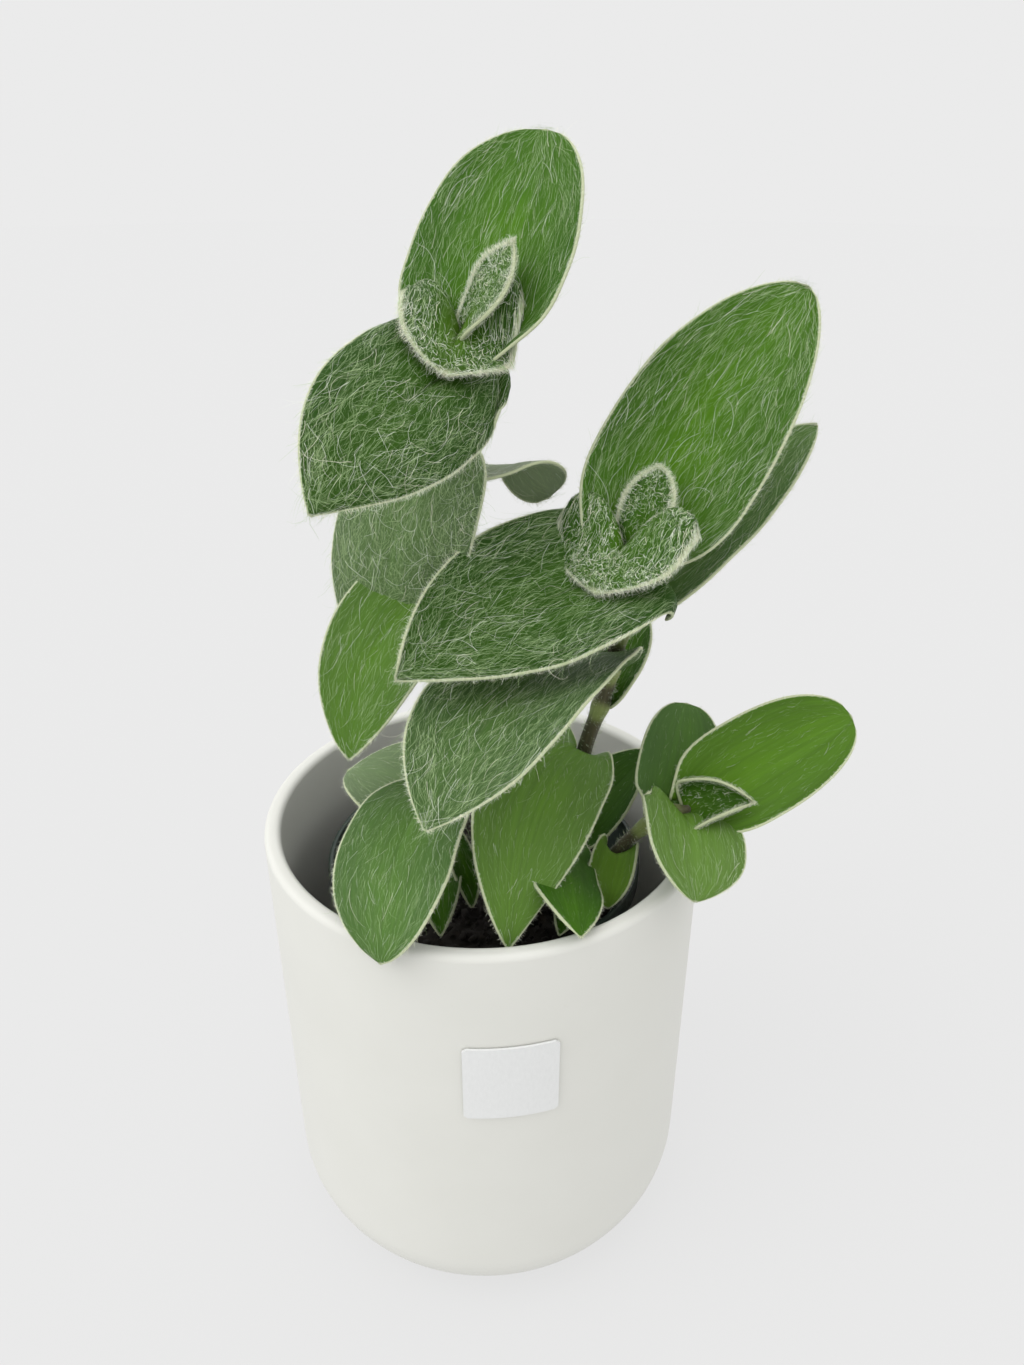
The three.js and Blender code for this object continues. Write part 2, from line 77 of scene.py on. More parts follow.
# Stems: route points from the soil hole to the growing tip, and the radius
STEMS = {
    "left": {
        "radius": 2.2,
        "route": [(-12, 12, 95), (-10, 10, 133), (-7, 8, 181), (-3, 4, 239), (-2, 2, 251), (-3, 0, 260)],
    },
    "right": {
        "radius": 2.2,
        "route": [
            (21, 9, 95), (24, 8, 115), (27.5, 5, 148), (32, 3, 167), (34, 1, 179), (37, -2, 200),
            (36, -4, 212),
        ],
    },
    "side": {
        "radius": 1.9,
        "route": [
            (22, -7, 95), (28, -10, 110), (35, -12, 126), (42, -14, 137), (48, -16, 143),
            (54, -18, 147),
        ],
    },
    "low": {
        "radius": 2,
        "route": [(-13, -4, 95), (-13, -5, 110), (-12, -7, 130), (-11, -9, 146)],
    },
}

# Leaf blades, from the youngest down. Lengths are in millimetres and angles in degrees.
# at: distance of the leaf's node along the stem
# heading: direction seen from above, 0 along +X and 90 along +Y
# rise, droop, curl: slope at the base, its fall by the tip, and a further fall of a curled tip
# length, width, widest, blunt: the outline, with the widest place as a share of the length
# roll, twist, sweep: turn about the midrib, further turn by the tip, and sideways bend
# cup, fold: bend across the blade, and angle of each half at the midrib
# clasp, hold: half-angle that the base wraps round the stem, and its distance from the stem's axis
# share, lobe, lift: width of the base as a share of the blade's, how far its lobes reach back past
# the stem, and the slope of that reach above level
# corner: how much of that reach the margin has
# felt, shade, grey, warm: how hairy, how dark or light (partly its own tone, partly painted light and
# shade), how grey and how yellow the leaf looks
# young: 1 on a young leaf, which has short wool and a wide pale rim
BLADE = {
    "roll": 0, "twist": 0, "droop": 30, "curl": 0, "cup": 14, "fold": 8, "sweep": 0, "widest": 0.4,
    "blunt": 0.85, "clasp": 95, "hold": 3.1, "share": 0, "lobe": 2, "lift": 10, "corner": 1,
    "felt": 0.5, "shade": 0, "grey": 0, "warm": 0, "young": 0,
}
LEAVES = {
    "left": [
        dict(at=163, heading=262, rise=0, length=16, width=28, droop=50, widest=0.25, blunt=0.95,
             cup=0, roll=27, clasp=8, share=0.95, lobe=13.5, lift=62, corner=0.8, felt=1, shade=-0.45,
             warm=0.7, young=1),
        dict(at=159, heading=49, rise=66, length=53, width=42, droop=10, blunt=0.55, cup=16, roll=-10,
             hold=3.9, felt=0.45, warm=0.35),
        dict(at=154, heading=237.2, rise=7.5, length=60, width=34.7, droop=50.1, widest=0.41,
             blunt=1.01, cup=-25, roll=44.3, sweep=-15, clasp=40, share=0.59, lobe=10, lift=40.2,
             corner=0.1, felt=0.65, shade=-0.65),
        dict(at=149, heading=101, rise=24, length=46, width=22, droop=20, cup=12),
        dict(at=143.5, heading=211.1, rise=-50.4, length=73.3, width=37.4, droop=48.5, widest=0.43,
             cup=-30, roll=32.6, twist=5.2, sweep=40, felt=0.75, shade=-0.3, grey=0.45),
        # Its high shade and grey paint light on it: on top of its grey tone, a paler albedo lifts it out of
        # the shadow it stands in
        dict(at=128, heading=31, rise=7, length=30, width=18, droop=-9, curl=62, blunt=0.45, cup=-12,
             roll=-9, twist=60, sweep=46, shade=0.9, grey=2),
        dict(at=105, heading=228, rise=-8, length=61, width=28, droop=75, cup=6, roll=20, felt=0.35,
             shade=0.2, grey=0.1),
        dict(at=87, heading=59, rise=4, length=46, width=26, droop=40, cup=6, felt=0.3),
    ],
    "right": [
        dict(at=116, heading=234, rise=-10, length=17, width=36, droop=38, widest=0.22, blunt=1,
             cup=-16, roll=-8, clasp=8, share=0.95, lobe=12.5, lift=80, corner=0.8, felt=1, shade=-0.4,
             young=1),
        dict(at=111.5, heading=27, rise=58, length=78, width=41, droop=10, blunt=0.6, roll=-40,
             sweep=-30, hold=3.9, shade=0.05, warm=0.3),
        dict(at=107, heading=212.6, rise=-3.6, length=66.8, width=44.7, droop=10.6, widest=0.23,
             blunt=1.01, cup=15, roll=18, twist=20, sweep=22.5, clasp=40, share=0.67, lobe=7.5,
             lift=34.5, corner=0.1, felt=0.6, shade=-0.65),
        dict(at=98, heading=29, rise=46, length=71, width=26, droop=20, cup=12, roll=-25, felt=0.45,
             shade=0, grey=0.3),
        dict(at=85.5, heading=231.5, rise=22.8, length=79.3, width=36, droop=67.2, widest=0.57,
             blunt=0.96, cup=8, roll=-7.4, twist=20, sweep=13.9, felt=0.55, shade=-0.5, grey=0.2),
        dict(at=73, heading=66, rise=29, length=30, width=16, droop=-10, felt=0.3, shade=-0.2),
        dict(at=53.5, heading=251.2, rise=23.9, length=71.8, width=31.2, droop=83.8, blunt=1.02,
             cup=-0.2, roll=21.3, twist=6.1, sweep=25, felt=0.22, shade=0.3, grey=0.15),
        dict(at=22.5, heading=14.1, rise=46, length=34.8, width=24.3, droop=-0.4, widest=0.21,
             blunt=0.65, cup=12.9, roll=-27, twist=22.9, sweep=0.9, felt=0.08, shade=-0.35),
        dict(at=22, heading=269.3, rise=34, length=71, width=20, droop=33.6, widest=0.65, blunt=0.95,
             cup=-5.7, roll=30, twist=-6.3, sweep=21.4, felt=0.12, warm=0.5),
    ],
    "side": [
        dict(at=60.5, heading=19, rise=31, length=51, width=28, droop=15, blunt=0.5, roll=-45,
             felt=0.14, shade=0.25, warm=0.6),
        dict(at=57.5, heading=268, rise=14, length=30, width=29, droop=55, widest=0.5, blunt=0.75,
             cup=5, fold=10, roll=20, twist=12, clasp=8, share=0.55, lobe=4, lift=20, corner=0.6,
             felt=0.3, shade=0.35, grey=0.2),
        dict(at=51.5, heading=73.4, rise=40.9, length=36.1, width=21.6, droop=15.8, widest=0.46,
             blunt=0.5, cup=15, roll=-4, twist=-8.3, sweep=12, clasp=75, felt=0.1, grey=0.25),
        dict(at=35, heading=252, rise=1, length=20.1, width=12.6, droop=62.2, widest=0.45, blunt=0.88,
             cup=17.2, roll=-9, twist=1.8, sweep=13.8, felt=0.12, shade=0.5, warm=0.3),
        dict(at=18.5, heading=250, rise=44, length=35, width=11, droop=50, clasp=80, felt=0.15,
             warm=0.3),
    ],
    "low": [
        dict(at=46.5, heading=258.6, rise=41.3, length=61.9, width=30, droop=100.9, widest=0.62,
             blunt=0.7, cup=-1.2, roll=5.6, twist=-30.8, sweep=10.2, felt=0.35, grey=0.25),
        dict(at=39, heading=156, rise=45.6, length=32.5, width=28.5, droop=67.5, widest=0.42,
             blunt=0.82, cup=5.9, roll=36.6, twist=-37.1, sweep=-6.3, felt=0.3, grey=0.9),
        dict(at=32, heading=294, rise=13.6, length=26.3, width=8.3, droop=69.8, widest=0.41,
             blunt=0.79, cup=20.7, roll=10.1, sweep=-23, felt=0.2),
        dict(at=24, heading=274, rise=34, length=36, width=12, droop=60, felt=0.2),
    ],
}
# The youngest leaf of each stem, still folded, grows out of the stem's tip, a little below its end
BUDS = {
    "left": dict(heading=1.5, rise=51.7, length=25.2, width=17, droop=-14.3, widest=0.5, blunt=1.08,
                 cup=10, fold=5, roll=-6.8, twist=-28.6, sweep=9),
    "right": dict(heading=35.5, rise=54.1, length=23.4, width=13.8, droop=-20.8, widest=0.5,
                  blunt=0.82, cup=5, fold=16, roll=-6.1, twist=-15.6, sweep=32.2, felt=0.65),
    "side": dict(heading=340.8, rise=27.6, length=19.1, width=20.5, droop=15.3, widest=0.2, blunt=1.08,
                 cup=103, fold=0, roll=-48.6, twist=0.4, sweep=-26.4, felt=0.4),
    "low": dict(heading=66, rise=40, length=13, width=9, droop=-10, fold=35, felt=0.5),
}
BUD_ROOT = 2.5
BUD_BASE = dict(hold=1.2, clasp=80, lobe=0, felt=1, shade=-0.3, young=1)

# Stems: sides and spacing of their rings, the swelling and the sheath below each node as place,
# width and size, the number of ridges, the length over which the tip thins, and the radius that
# their fine lines are laid out on
STALK = {
    "sides": 24, "spacing": 0.9, "swell": (1.5, 2.2, 0.2), "sheath": (2.5, 3.2, 0.06), "ridges": 7,
    "thinning": 4, "lines": 2.2,
}
# Thickness of a blade at the midrib and the edge, and half the width of its tip
MIDRIB, EDGE, TIP = 1.1, 0.7, 0.25
# Distances from the base over which a blade leaves the stem, opens from its clasp and takes its fold
BEND, OPENING, FOLDING = 5, 4.5, 6
# Powers of the outline from the base to its widest place, and from there to the tip
BASE_POWER, TIP_POWER = 3, 2.2
# Back edge of a lobed base: the power of the half sine that each lobe follows, and how fast it fades
LOBE_POWER, LOBE_SPREAD = 0.6, 0.3
# Shares of the length where a curled blade starts to bend over, and over which it bends
CURL_START, CURL_SPAN = 0.4, 0.25
# Spacing of the fine grid along and across a blade, the finer rows of its base, and the columns of
# its midrib
STEP_ALONG, STEP_ACROSS = 1.3, 1.5
BASE_LENGTH, BASE_ROWS = 8, 9
RIB_COLUMNS = (0.35, 0.8, 1.4)
# Waves of the margin: their height, the lengths of the short and long ones in millimetres to a
# radian, the strength of the short ones, and the half-width from which a blade has them in full
FRILL = {"height": 0.35, "short": 2.6, "long": 5.5, "share": 0.45, "full": 14}
# Depth and width of the groove over the midrib and of the keel under it
GROOVE, KEEL = (0.28, 0.7), (0.42, 0.8)
# Half-circle of the blade's rounded margin, as angles in degrees, and how far it stands out
MARGIN_ANGLES = (50, 0, -50)
MARGIN_ROUND = 0.3
# Colour zones of a blade: the bright midrib as a share of the width, which is lighter tissue with painted
# light shining through the blade, and the yellow channel of the base, whose length and half-width grow with
# the leaf's warmth
GLOW_WIDTH, GLOW_LEAST = 0.3, 0.35
CHANNEL = {"length": (5, 9), "width": (2, 2.6), "least": 0.5}
# The pale rim: how slowly it widens round the tip, and how much wider it is on a young leaf
RIM_TIP, RIM_YOUNG = 0.6, 2.4
# The lower face: how far its texture lies from the upper one's, and its shares of glow, channel,
# shade and grey, which is greyer by a set amount
UNDERSIDE = {"away": 60, "glow": 0.4, "base": 0.5, "shade": 0.5, "grey": 0.6, "greyer": 0.35}
# Distance between the textures of two leaves
LEAF_AWAY = 7.3
# Layout of a blade's surface: the strip of its body, the strips of its two ends, and the column and
# spacing of the four small faces at their corners
LAYOUT = {"low": 0.03, "tall": 0.94, "strips": ((0.0, 0.02), (0.98, 1.0)), "corner": 0.985, "step": 0.001}

# Colours as the eye sees them, from 0 to 255
LEAF_COLOURS = {
    "deep": (54, 98, 14), "glow": (82, 134, 0), "channel": (104, 146, 6), "dark": (24, 56, 4),
    "light": (128, 168, 60), "vein": (105, 105, 105), "field": (255, 255, 255), "felt": (160, 184, 130),
    "grey": (142, 153, 128), "rim": (206, 212, 176),
}
HAIR_COLOURS = {"white": (228, 234, 216), "cream": (236, 234, 212), "green": (164, 190, 134)}


def linear(red, green, blue):
    """A colour as the eye sees it, from 0 to 255, as the linear numbers that shaders take."""
    shares = [value / 255 for value in (red, green, blue)]
    return tuple(s / 12.92 if s <= 0.04045 else ((s + 0.055) / 1.055) ** 2.4 for s in shares) + (1,)


def unit(vectors):
    """The same directions with length 1."""
    sizes = np.linalg.norm(vectors, axis=-1, keepdims=True)
    return vectors / np.maximum(sizes, 1e-9)


# Meshes


def mesh_object(name, points, faces, smooth=True):
    """An object from points in millimetres and lists of face arrays, each with one count of corners."""
    mesh = bpy.data.meshes.new(name)
    corners = [np.asarray(group, dtype=np.int32) for group in faces if len(group)]
    counts = np.concatenate([np.full(len(group), group.shape[1]) for group in corners])
    loops = np.concatenate([group.ravel() for group in corners])
    starts = np.concatenate([[0], np.cumsum(counts)[:-1]])
    mesh.vertices.add(len(points))
    mesh.vertices.foreach_set("co", (np.asarray(points, dtype=np.float64) * MM).ravel())
    mesh.loops.add(len(loops))
    mesh.loops.foreach_set("vertex_index", loops.astype(np.int32))
    mesh.polygons.add(len(counts))
    mesh.polygons.foreach_set("loop_start", starts.astype(np.int32))
    mesh.polygons.foreach_set("use_smooth", np.full(len(counts), smooth))
    mesh.update(calc_edges=True)
    mesh.validate()
    piece = bpy.data.objects.new(name, mesh)
    bpy.context.scene.collection.objects.link(piece)
    return piece


def add_vectors(piece, name, values):
    """A named vector for each point, which materials read."""
    layer = piece.data.attributes.new(name, "FLOAT_VECTOR", "POINT")
    layer.data.foreach_set("vector", np.asarray(values, dtype=np.float32).ravel())


def add_map(piece, uv):
    """The flat layout of the surface, one pair for each face corner."""
    layer = piece.data.uv_layers.new(name="OFBake")
    layer.data.foreach_set("uv", np.asarray(uv, dtype=np.float32).ravel())


def dress(piece, material, slot, *nodes):
    """Gives a piece its material and the body it moves with, and hides what it stands for."""
    piece.data.materials.append(material)
    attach(piece, "root")
    if nodes:
        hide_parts(*nodes)
    return piece


def grid_faces(rows, columns, closed=False):
    """Quads between the points of a grid, whose columns may close on themselves."""
    i = np.arange(rows - 1)[:, None]
    j = np.arange(columns if closed else columns - 1)[None, :]
    after = (j + 1) % columns
    corners = [i * columns + j, i * columns + after, (i + 1) * columns + after, (i + 1) * columns + j]
    return np.stack(np.broadcast_arrays(*corners), axis=-1).reshape(-1, 4)


def circle(facets):
    """Points all round a circle of radius 1."""
    angles = np.linspace(0, 2 * math.pi, facets, endpoint=False)
    return np.stack([np.cos(angles), np.sin(angles)], axis=1)


def fan(ring, middle, upward):
    """Triangles from a closed ring of points to the point in its middle."""
    after = np.roll(ring, -1)
    pair = [ring, after] if upward else [after, ring]
    return np.stack([*pair, np.full(len(ring), middle)], axis=1)


def end_fans(count, facets):
    """Caps of a tube of count points, whose two middle points come after them."""
    ring = np.arange(facets)
    return [fan(ring, count, False), fan(ring + count - facets, count + 1, True)]


# Materials


class Shader:
    """A material's node tree, with short calls for the nodes that it uses."""

    def __init__(self, name):
        self.material = bpy.data.materials.new(name)
        self.material.use_nodes = True
        self.tree = self.material.node_tree
        self.surface = self.tree.nodes["Principled BSDF"]

    def put(self, socket, value):
        if isinstance(value, bpy.types.NodeSocket):
            self.tree.links.new(value, socket)
        else:
            socket.default_value = value

    def node(self, kind, inputs=(), **settings):
        made = self.tree.nodes.new("ShaderNode" + kind)
        for key, value in settings.items():
            setattr(made, key, value)
        for key, value in dict(inputs).items():
            self.put(made.inputs[key], value)
        return made

    def attribute(self, name):
        """The three numbers of a named vector."""
        read = self.node("Attribute", attribute_name=name)
        return self.node("SeparateXYZ", {0: read.outputs["Vector"]}).outputs

    def vector(self, name):
        return self.node("Attribute", attribute_name=name).outputs["Vector"]

    def place(self):
        """The place on the object in metres."""
        return self.node("TexCoord").outputs["Object"]

    def scaled(self, vector, scale):
        return self.node("Mapping", {"Vector": vector, "Scale": scale}).outputs[0]

    def math(self, operation, one, other=0.0, clamp=False):
        return self.node("Math", {0: one, 1: other}, operation=operation, use_clamp=clamp).outputs[0]

    def noise(self, vector, scale, detail=3, roughness=0.55, distortion=0):
        inputs = {
            "Vector": vector, "Scale": scale, "Detail": detail, "Roughness": roughness,
            "Distortion": distortion,
        }
        return self.node("TexNoise", inputs).outputs["Fac"]

    def between(self, value, low, high, start=0.0, end=1.0):
        """A smooth step from start to end as the value goes from low to high."""
        inputs = {"Value": value, "From Min": low, "From Max": high, "To Min": start, "To Max": end}
        return self.node("MapRange", inputs, interpolation_type="SMOOTHSTEP").outputs[0]

    def mix(self, share, one, other, blend="MIX"):
        made = self.node("Mix", data_type="RGBA", blend_type=blend, clamp_factor=True)
        self.put(made.inputs[0], share)
        self.put(made.inputs[6], one)
        self.put(made.inputs[7], other)
        return made.outputs[2]

    def bump(self, height, strength, distance):
        inputs = {"Height": height, "Strength": strength, "Distance": distance * MM}
        return self.node("Bump", inputs).outputs[0]

    def set(self, **sockets):
        """Sets or links the surface's own sockets, whose names have _ for spaces."""
        for key, value in sockets.items():
            self.put(self.surface.inputs[key.replace("_", " ")], value)
        return self.material


def leaf_material():
    """Green tissue under pale felt: brighter along the midrib, partly lighter tissue and partly painted
    light shining through the blade; yellow at the base, cream at the margin; darker or lighter leaf by
    leaf, partly its own tone and partly painted light and shade.
    """
    made = Shader("leaf_tissue")
    tone = {name: linear(*colour) for name, colour in LEAF_COLOURS.items()}
    glow, base, rim = made.attribute("leaf_zone")
    felt, shade, grey = made.attribute("leaf_kind")
    place = made.vector("leaf_mm")
    # The glow along the midrib is partly lighter tissue and partly painted light shining through the thin
    # blade
    patches = made.noise(made.scaled(place, (0.07, 0.11, 1)), 1, detail=2)
    glow = made.math("MULTIPLY", glow, made.between(patches, 0.3, 0.7, 0.75, 1.25))
    colour = made.mix(glow, tone["deep"], tone["glow"])
    colour = made.mix(base, colour, tone["channel"])
    # The dark and light mixes are partly each leaf's own tone and partly painted light and shade, set leaf
    # by leaf
    colour = made.mix(made.math("MULTIPLY", shade, -1, clamp=True), colour, tone["dark"])
    colour = made.mix(made.math("MULTIPLY", shade, 1, clamp=True), colour, tone["light"])
    # Veins run along the blade, and so do the fibres of the felt, between short curls
    veins = made.noise(made.scaled(place, (0.02, 0.9, 1)), 1, detail=1)
    dark_veins = made.mix(veins, tone["vein"], tone["field"])
    colour = made.mix(0.5, colour, dark_veins, "MULTIPLY")
    streaks = made.noise(made.scaled(place, (0.16, 2.2, 1)), 1, detail=4, roughness=0.7, distortion=0.9)
    curls = made.noise(made.scaled(place, (1.3, 1.5, 1)), 1, detail=3, distortion=2.2)
    fibres = made.math("ADD", made.between(streaks, 0.5, 0.68), made.between(curls, 0.6, 0.75, 0, 0.5))
    haze = made.math("MULTIPLY", fibres, made.math("MULTIPLY", felt, 0.36))
    colour = made.mix(haze, colour, tone["felt"])
    colour = made.mix(made.math("MULTIPLY", grey, 0.5, clamp=True), colour, tone["grey"])
    ragged = made.math("ADD", rim, made.math("MULTIPLY", curls, 0.5))
    colour = made.mix(made.between(ragged, 0.3, 0.6, 0.8, 0), colour, tone["rim"])
    relief = made.math("ADD", made.math("MULTIPLY", fibres, 0.5), made.math("MULTIPLY", veins, 0.8))
    return made.set(
        Base_Color=colour, Roughness=0.6, Normal=made.bump(relief, 0.6, 0.12), Specular_IOR_Level=0.16,
    )


def hair_material(name):
    """Soft white, cream or green hairs."""
    made = Shader("hair_" + name)
    colour = linear(*HAIR_COLOURS[name])
    return made.set(Base_Color=colour, Roughness=0.55, Specular_IOR_Level=0.3, Sheen_Weight=0.2)


def stem_material():
    """Grey-brown between the nodes and yellow-green at them, with fine lengthwise lines."""
    made = Shader("stem_tissue")
    node_share = made.attribute("stem_zone")[0]
    lines = made.noise(made.scaled(made.vector("stem_mm"), (0.12, 1.6, 1)), 1, detail=3)
    dark = made.mix(lines, linear(50, 44, 34), linear(98, 94, 66))
    green = made.mix(lines, linear(106, 122, 62), linear(158, 170, 104))
    colour = made.mix(node_share, dark, green)
    return made.set(
        Base_Color=colour, Roughness=0.6, Normal=made.bump(lines, 0.5, 0.15), Sheen_Weight=0.25,
        Specular_IOR_Level=0.35,
    )


def ceramic_material():
    """A satin white glaze with faint clouds, an uneven sheen and very fine pits."""
    made = Shader("satin_ceramic")
    place = made.place()
    clouds = made.noise(place, 45, detail=3)
    pits = made.noise(place, 900, detail=2)
    waves = made.noise(place, 120, detail=2)
    relief = made.math("ADD", made.math("MULTIPLY", pits, 0.25), waves)
    colour = made.mix(clouds, linear(216, 216, 209), linear(222, 222, 216))
    colour = made.mix(made.between(pits, 0.68, 0.8, 0, 0.12), colour, linear(196, 192, 180))
    return made.set(
        Base_Color=colour, Roughness=made.between(clouds, 0.3, 0.7, 0.42, 0.52),
        Normal=made.bump(relief, 0.25, 0.06), Specular_IOR_Level=0.4,
    )


def paper_material():
    """Smooth white label paper with a faint fibre."""
    made = Shader("label_paper")
    fibre = made.noise(made.scaled(made.place(), (1, 1, 0.4)), 1400, detail=4)
    colour = made.mix(fibre, linear(219, 220, 219), linear(230, 231, 230))
    return made.set(
        Base_Color=colour, Roughness=0.55, Normal=made.bump(fibre, 0.3, 0.03), Specular_IOR_Level=0.35,
    )


def plastic_material():
    """Dark green moulded plastic, scuffed and dusted with soil."""
    made = Shader("green_plastic")
    place = made.place()
    scuffs = made.noise(made.scaled(place, (1, 1, 0.15)), 700, detail=4)
    dust = made.between(made.noise(place, 160, detail=5), 0.52, 0.75, 0, 0.55)
    colour = made.mix(scuffs, linear(30, 44, 38), linear(44, 62, 52))
    colour = made.mix(dust, colour, linear(84, 80, 66))
    return made.set(
        Base_Color=colour, Roughness=made.between(dust, 0, 0.5, 0.38, 0.75),
        Normal=made.bump(scuffs, 0.3, 0.05),
    )


def soil_material():
    """Dark, moist peat with lighter fibres and grains."""
    made = Shader("peat")
    place = made.place()
    grains = made.noise(place, 900, detail=5, roughness=0.7)
    clods = made.noise(place, 220, detail=3)
    colour = made.mix(grains, linear(12, 10, 8), linear(40, 33, 26))
    colour = made.mix(made.between(clods, 0.58, 0.75, 0, 0.4), colour, linear(64, 52, 38))
    return made.set(Base_Color=colour, Roughness=0.92, Normal=made.bump(grains, 0.9, 0.4))


# The holder


def arc(middle, radius, start, end, steps):
    """Points of an arc about a middle, from one angle in degrees to another."""
    angles = np.radians(np.linspace(start, end, steps + 1))
    return [(middle[0] + radius * math.cos(a), middle[1] + radius * math.sin(a)) for a in angles]


def turned(name, outline, facets):
    """A round body about the upright axis, from an outline that starts and ends on the axis."""
    outline = np.array(outline)
    rings = outline[1:-1]
    flat = rings[:, None, :1] * circle(facets)[None]
    heights = np.broadcast_to(rings[:, None, 1:], flat.shape[:2] + (1,))
    points = np.concatenate([flat, heights], axis=2).reshape(-1, 3)
    ends = [(0, 0, outline[0][1]), (0, 0, outline[-1][1])]
    faces = [grid_faces(len(rings), facets, closed=True), *end_fans(len(points), facets)]
    return mesh_object(name, np.concatenate([points, ends]), faces)


def cover_pot(material):
    """A straight round wall on a large bottom corner, with a well-rounded rim and an open top."""
    inside = POT["radius"] - POT["wall"]
    inner_corner = POT["corner"] - POT["wall"]
    rim, height, floor = POT["rim"], POT["height"], POT["floor"]
    outline = [
        (0, 0), (12, 0), (26, 0),
        *arc((POT["radius"] - POT["corner"], POT["corner"]), POT["corner"], -90, 0, 16),
        (POT["radius"], height * 0.4), (POT["radius"], height * 0.7),
        *arc((POT["radius"] - rim, height - rim), rim, 0, 90, 6),
        *arc((inside + rim, height - rim), rim, 90, 180, 6),
        (inside, height * 0.7), (inside, height * 0.4),
        *arc((inside - inner_corner, floor + inner_corner), inner_corner, 0, -90, 12),
        (20, floor), (0, floor),
    ]
    piece = turned("ceramic_cover_pot", outline, POT["facets"])
    return dress(piece, material, "white_ceramic", "cover_pot")


def label(material):
    """A plate that follows the wall, with small round corners."""
    half = LABEL["size"] / 2
    straight = half - LABEL["corner"]
    columns = np.linspace(-half, half, LABEL["columns"] + 1)
    past = np.clip(np.abs(columns) - straight, 0, LABEL["corner"])
    reach = straight + np.sqrt(LABEL["corner"] ** 2 - past ** 2)
    inner = POT["radius"] + LABEL["gap"]
    outer = inner + LABEL["thickness"]
    turn = math.radians(LABEL["heading"]) + columns / inner
    lines = []
    for radius, side in ((inner, -1), (inner, 1), (outer, 1), (outer, -1)):
        lines.append([radius * np.cos(turn), radius * np.sin(turn), LABEL["middle"] + side * reach])
    points = np.array(lines).transpose(2, 0, 1).reshape(-1, 3)
    last = len(points)
    ends = np.array([(0, 3, 2, 1), (last - 4, last - 3, last - 2, last - 1)])
    faces = [grid_faces(len(columns), 4, closed=True), ends]
    piece = mesh_object("label_plate", points, faces, smooth=False)
    return dress(piece, material, "label_paper", "blank_label")


def nursery_pot(material):
    """A tapered plastic pot with a stepped, rounded rim and drain holes cut through its floor."""
    n = NURSERY
    foot, top, wall, corner = n["foot"], n["top"], n["wall"], n["corner"]
    shoulder = top - n["rim_height"]
    outline = [
        (0, foot), (12, foot), (24, foot), (n["foot_radius"] - corner, foot),
        *arc((n["foot_radius"] - corner, foot + corner), corner, -60, 0, 3),
        (n["body_radius"], shoulder), (n["rim_radius"] - 0.4, shoulder), (n["rim_radius"], shoulder + 0.4),
        *arc((n["rim_radius"] - 0.6, top - 0.6), 0.6, 0, 90, 4),
        *arc((n["rim_radius"] - wall + 0.5, top - 0.5), 0.5, 90, 180, 4),
        (n["rim_radius"] - wall, shoulder + 1.2), (n["body_radius"] - wall, shoulder),
        (n["foot_radius"] - wall, foot + wall + 1), (n["foot_radius"] - wall - 1, foot + wall),
        (24, foot + wall), (12, foot + wall), (0, foot + wall),
    ]
    piece = turned("green_nursery_pot", outline, n["facets"])
    radius, low, high = DRAIN["radius"], foot - DRAIN["past"], foot + wall + DRAIN["past"]
    drain = [(0, low), (radius, low), (radius, high), (0, high)]
    cutters = []
    for i in range(DRAIN["count"]):
        angle = 2 * math.pi * i / DRAIN["count"]
        x, y = DRAIN["circle"] * math.cos(angle), DRAIN["circle"] * math.sin(angle)
        cutter = turned("drain_cutter", drain, DRAIN["facets"])
        cutter.location = (x * MM, y * MM, 0)
        cutters.append(cutter)
        cut = piece.modifiers.new("drain", "BOOLEAN")
        cut.operation = "DIFFERENCE"
        cut.solver = "EXACT"
        cut.object = cutter
    bpy.context.view_layer.update()
    shape = bpy.data.meshes.new_from_object(piece.evaluated_get(bpy.context.evaluated_depsgraph_get()))
    piece.modifiers.clear()
    piece.data = shape
    for cutter in cutters:
        bpy.data.objects.remove(cutter)
    return dress(piece, material, "green_plastic", "nursery_pot")


def soft_noise(points, scale, rng, waves=24):
    """Smooth noise between about -1 and 1 from crossing waves with seeded directions."""
    directions = unit(rng.normal(size=(waves, points.shape[-1])))
    sizes = scale * np.exp(rng.uniform(-0.7, 0.7, waves))
    phases = rng.uniform(0, 2 * math.pi, waves)
    crests = np.sin(points @ (directions / sizes[:, None] * 2 * math.pi).T + phases)
    return crests.sum(-1) / math.sqrt(waves)


def crumb_shape():
    """The points and triangles of a small ball."""
    ball = bmesh.new()
    bmesh.ops.create_icosphere(ball, subdivisions=1, radius=1)
    points = np.array([v.co[:] for v in ball.verts])
    faces = np.array([[v.index for v in f.verts] for f in ball.faces])
    ball.free()
    return points, faces


def soil_radius(height):
    """Radius of the soil at a height inside the tapered pot."""
    n = NURSERY
    low = n["foot"] + 1 + n["wall"]
    share = (height - low) / (n["top"] - n["rim_height"] - low)
    return n["foot_radius"] + (n["body_radius"] - n["foot_radius"]) * share - n["wall"] - SOIL["gap"]


def soil_crust(curves, rng):
    """The uneven top of the soil, ring by ring from its edge in, with a dip at each stem."""
    edge, level, mound = soil_radius(SOIL["level"]), SOIL["level"], SOIL["mound"]
    radii = np.linspace(edge - 0.4, 0.8, SOIL["rings"])
    flat = radii[:, None, None] * circle(SOIL["facets"])[None]
    height = level - CRUST["sunk"] + mound * (1 - (radii / edge) ** 2)[:, None]
    for strength, size in CRUST["waves"]:
        height = height + strength * soft_noise(flat, size, rng)
    height = height + CRUST["rough"] * rng.normal(size=height.shape)
    depth, width = CRUST["dip"]
    for curve in curves.values():
        place = curve["points"][np.argmin(np.abs(curve["points"][:, 2] - level))]
        away = np.linalg.norm(flat - place[:2], axis=-1)
        height = height - depth * np.exp(-((away / width) ** 2))
    return radii, flat, np.minimum(height, level + mound + CRUST["highest"])


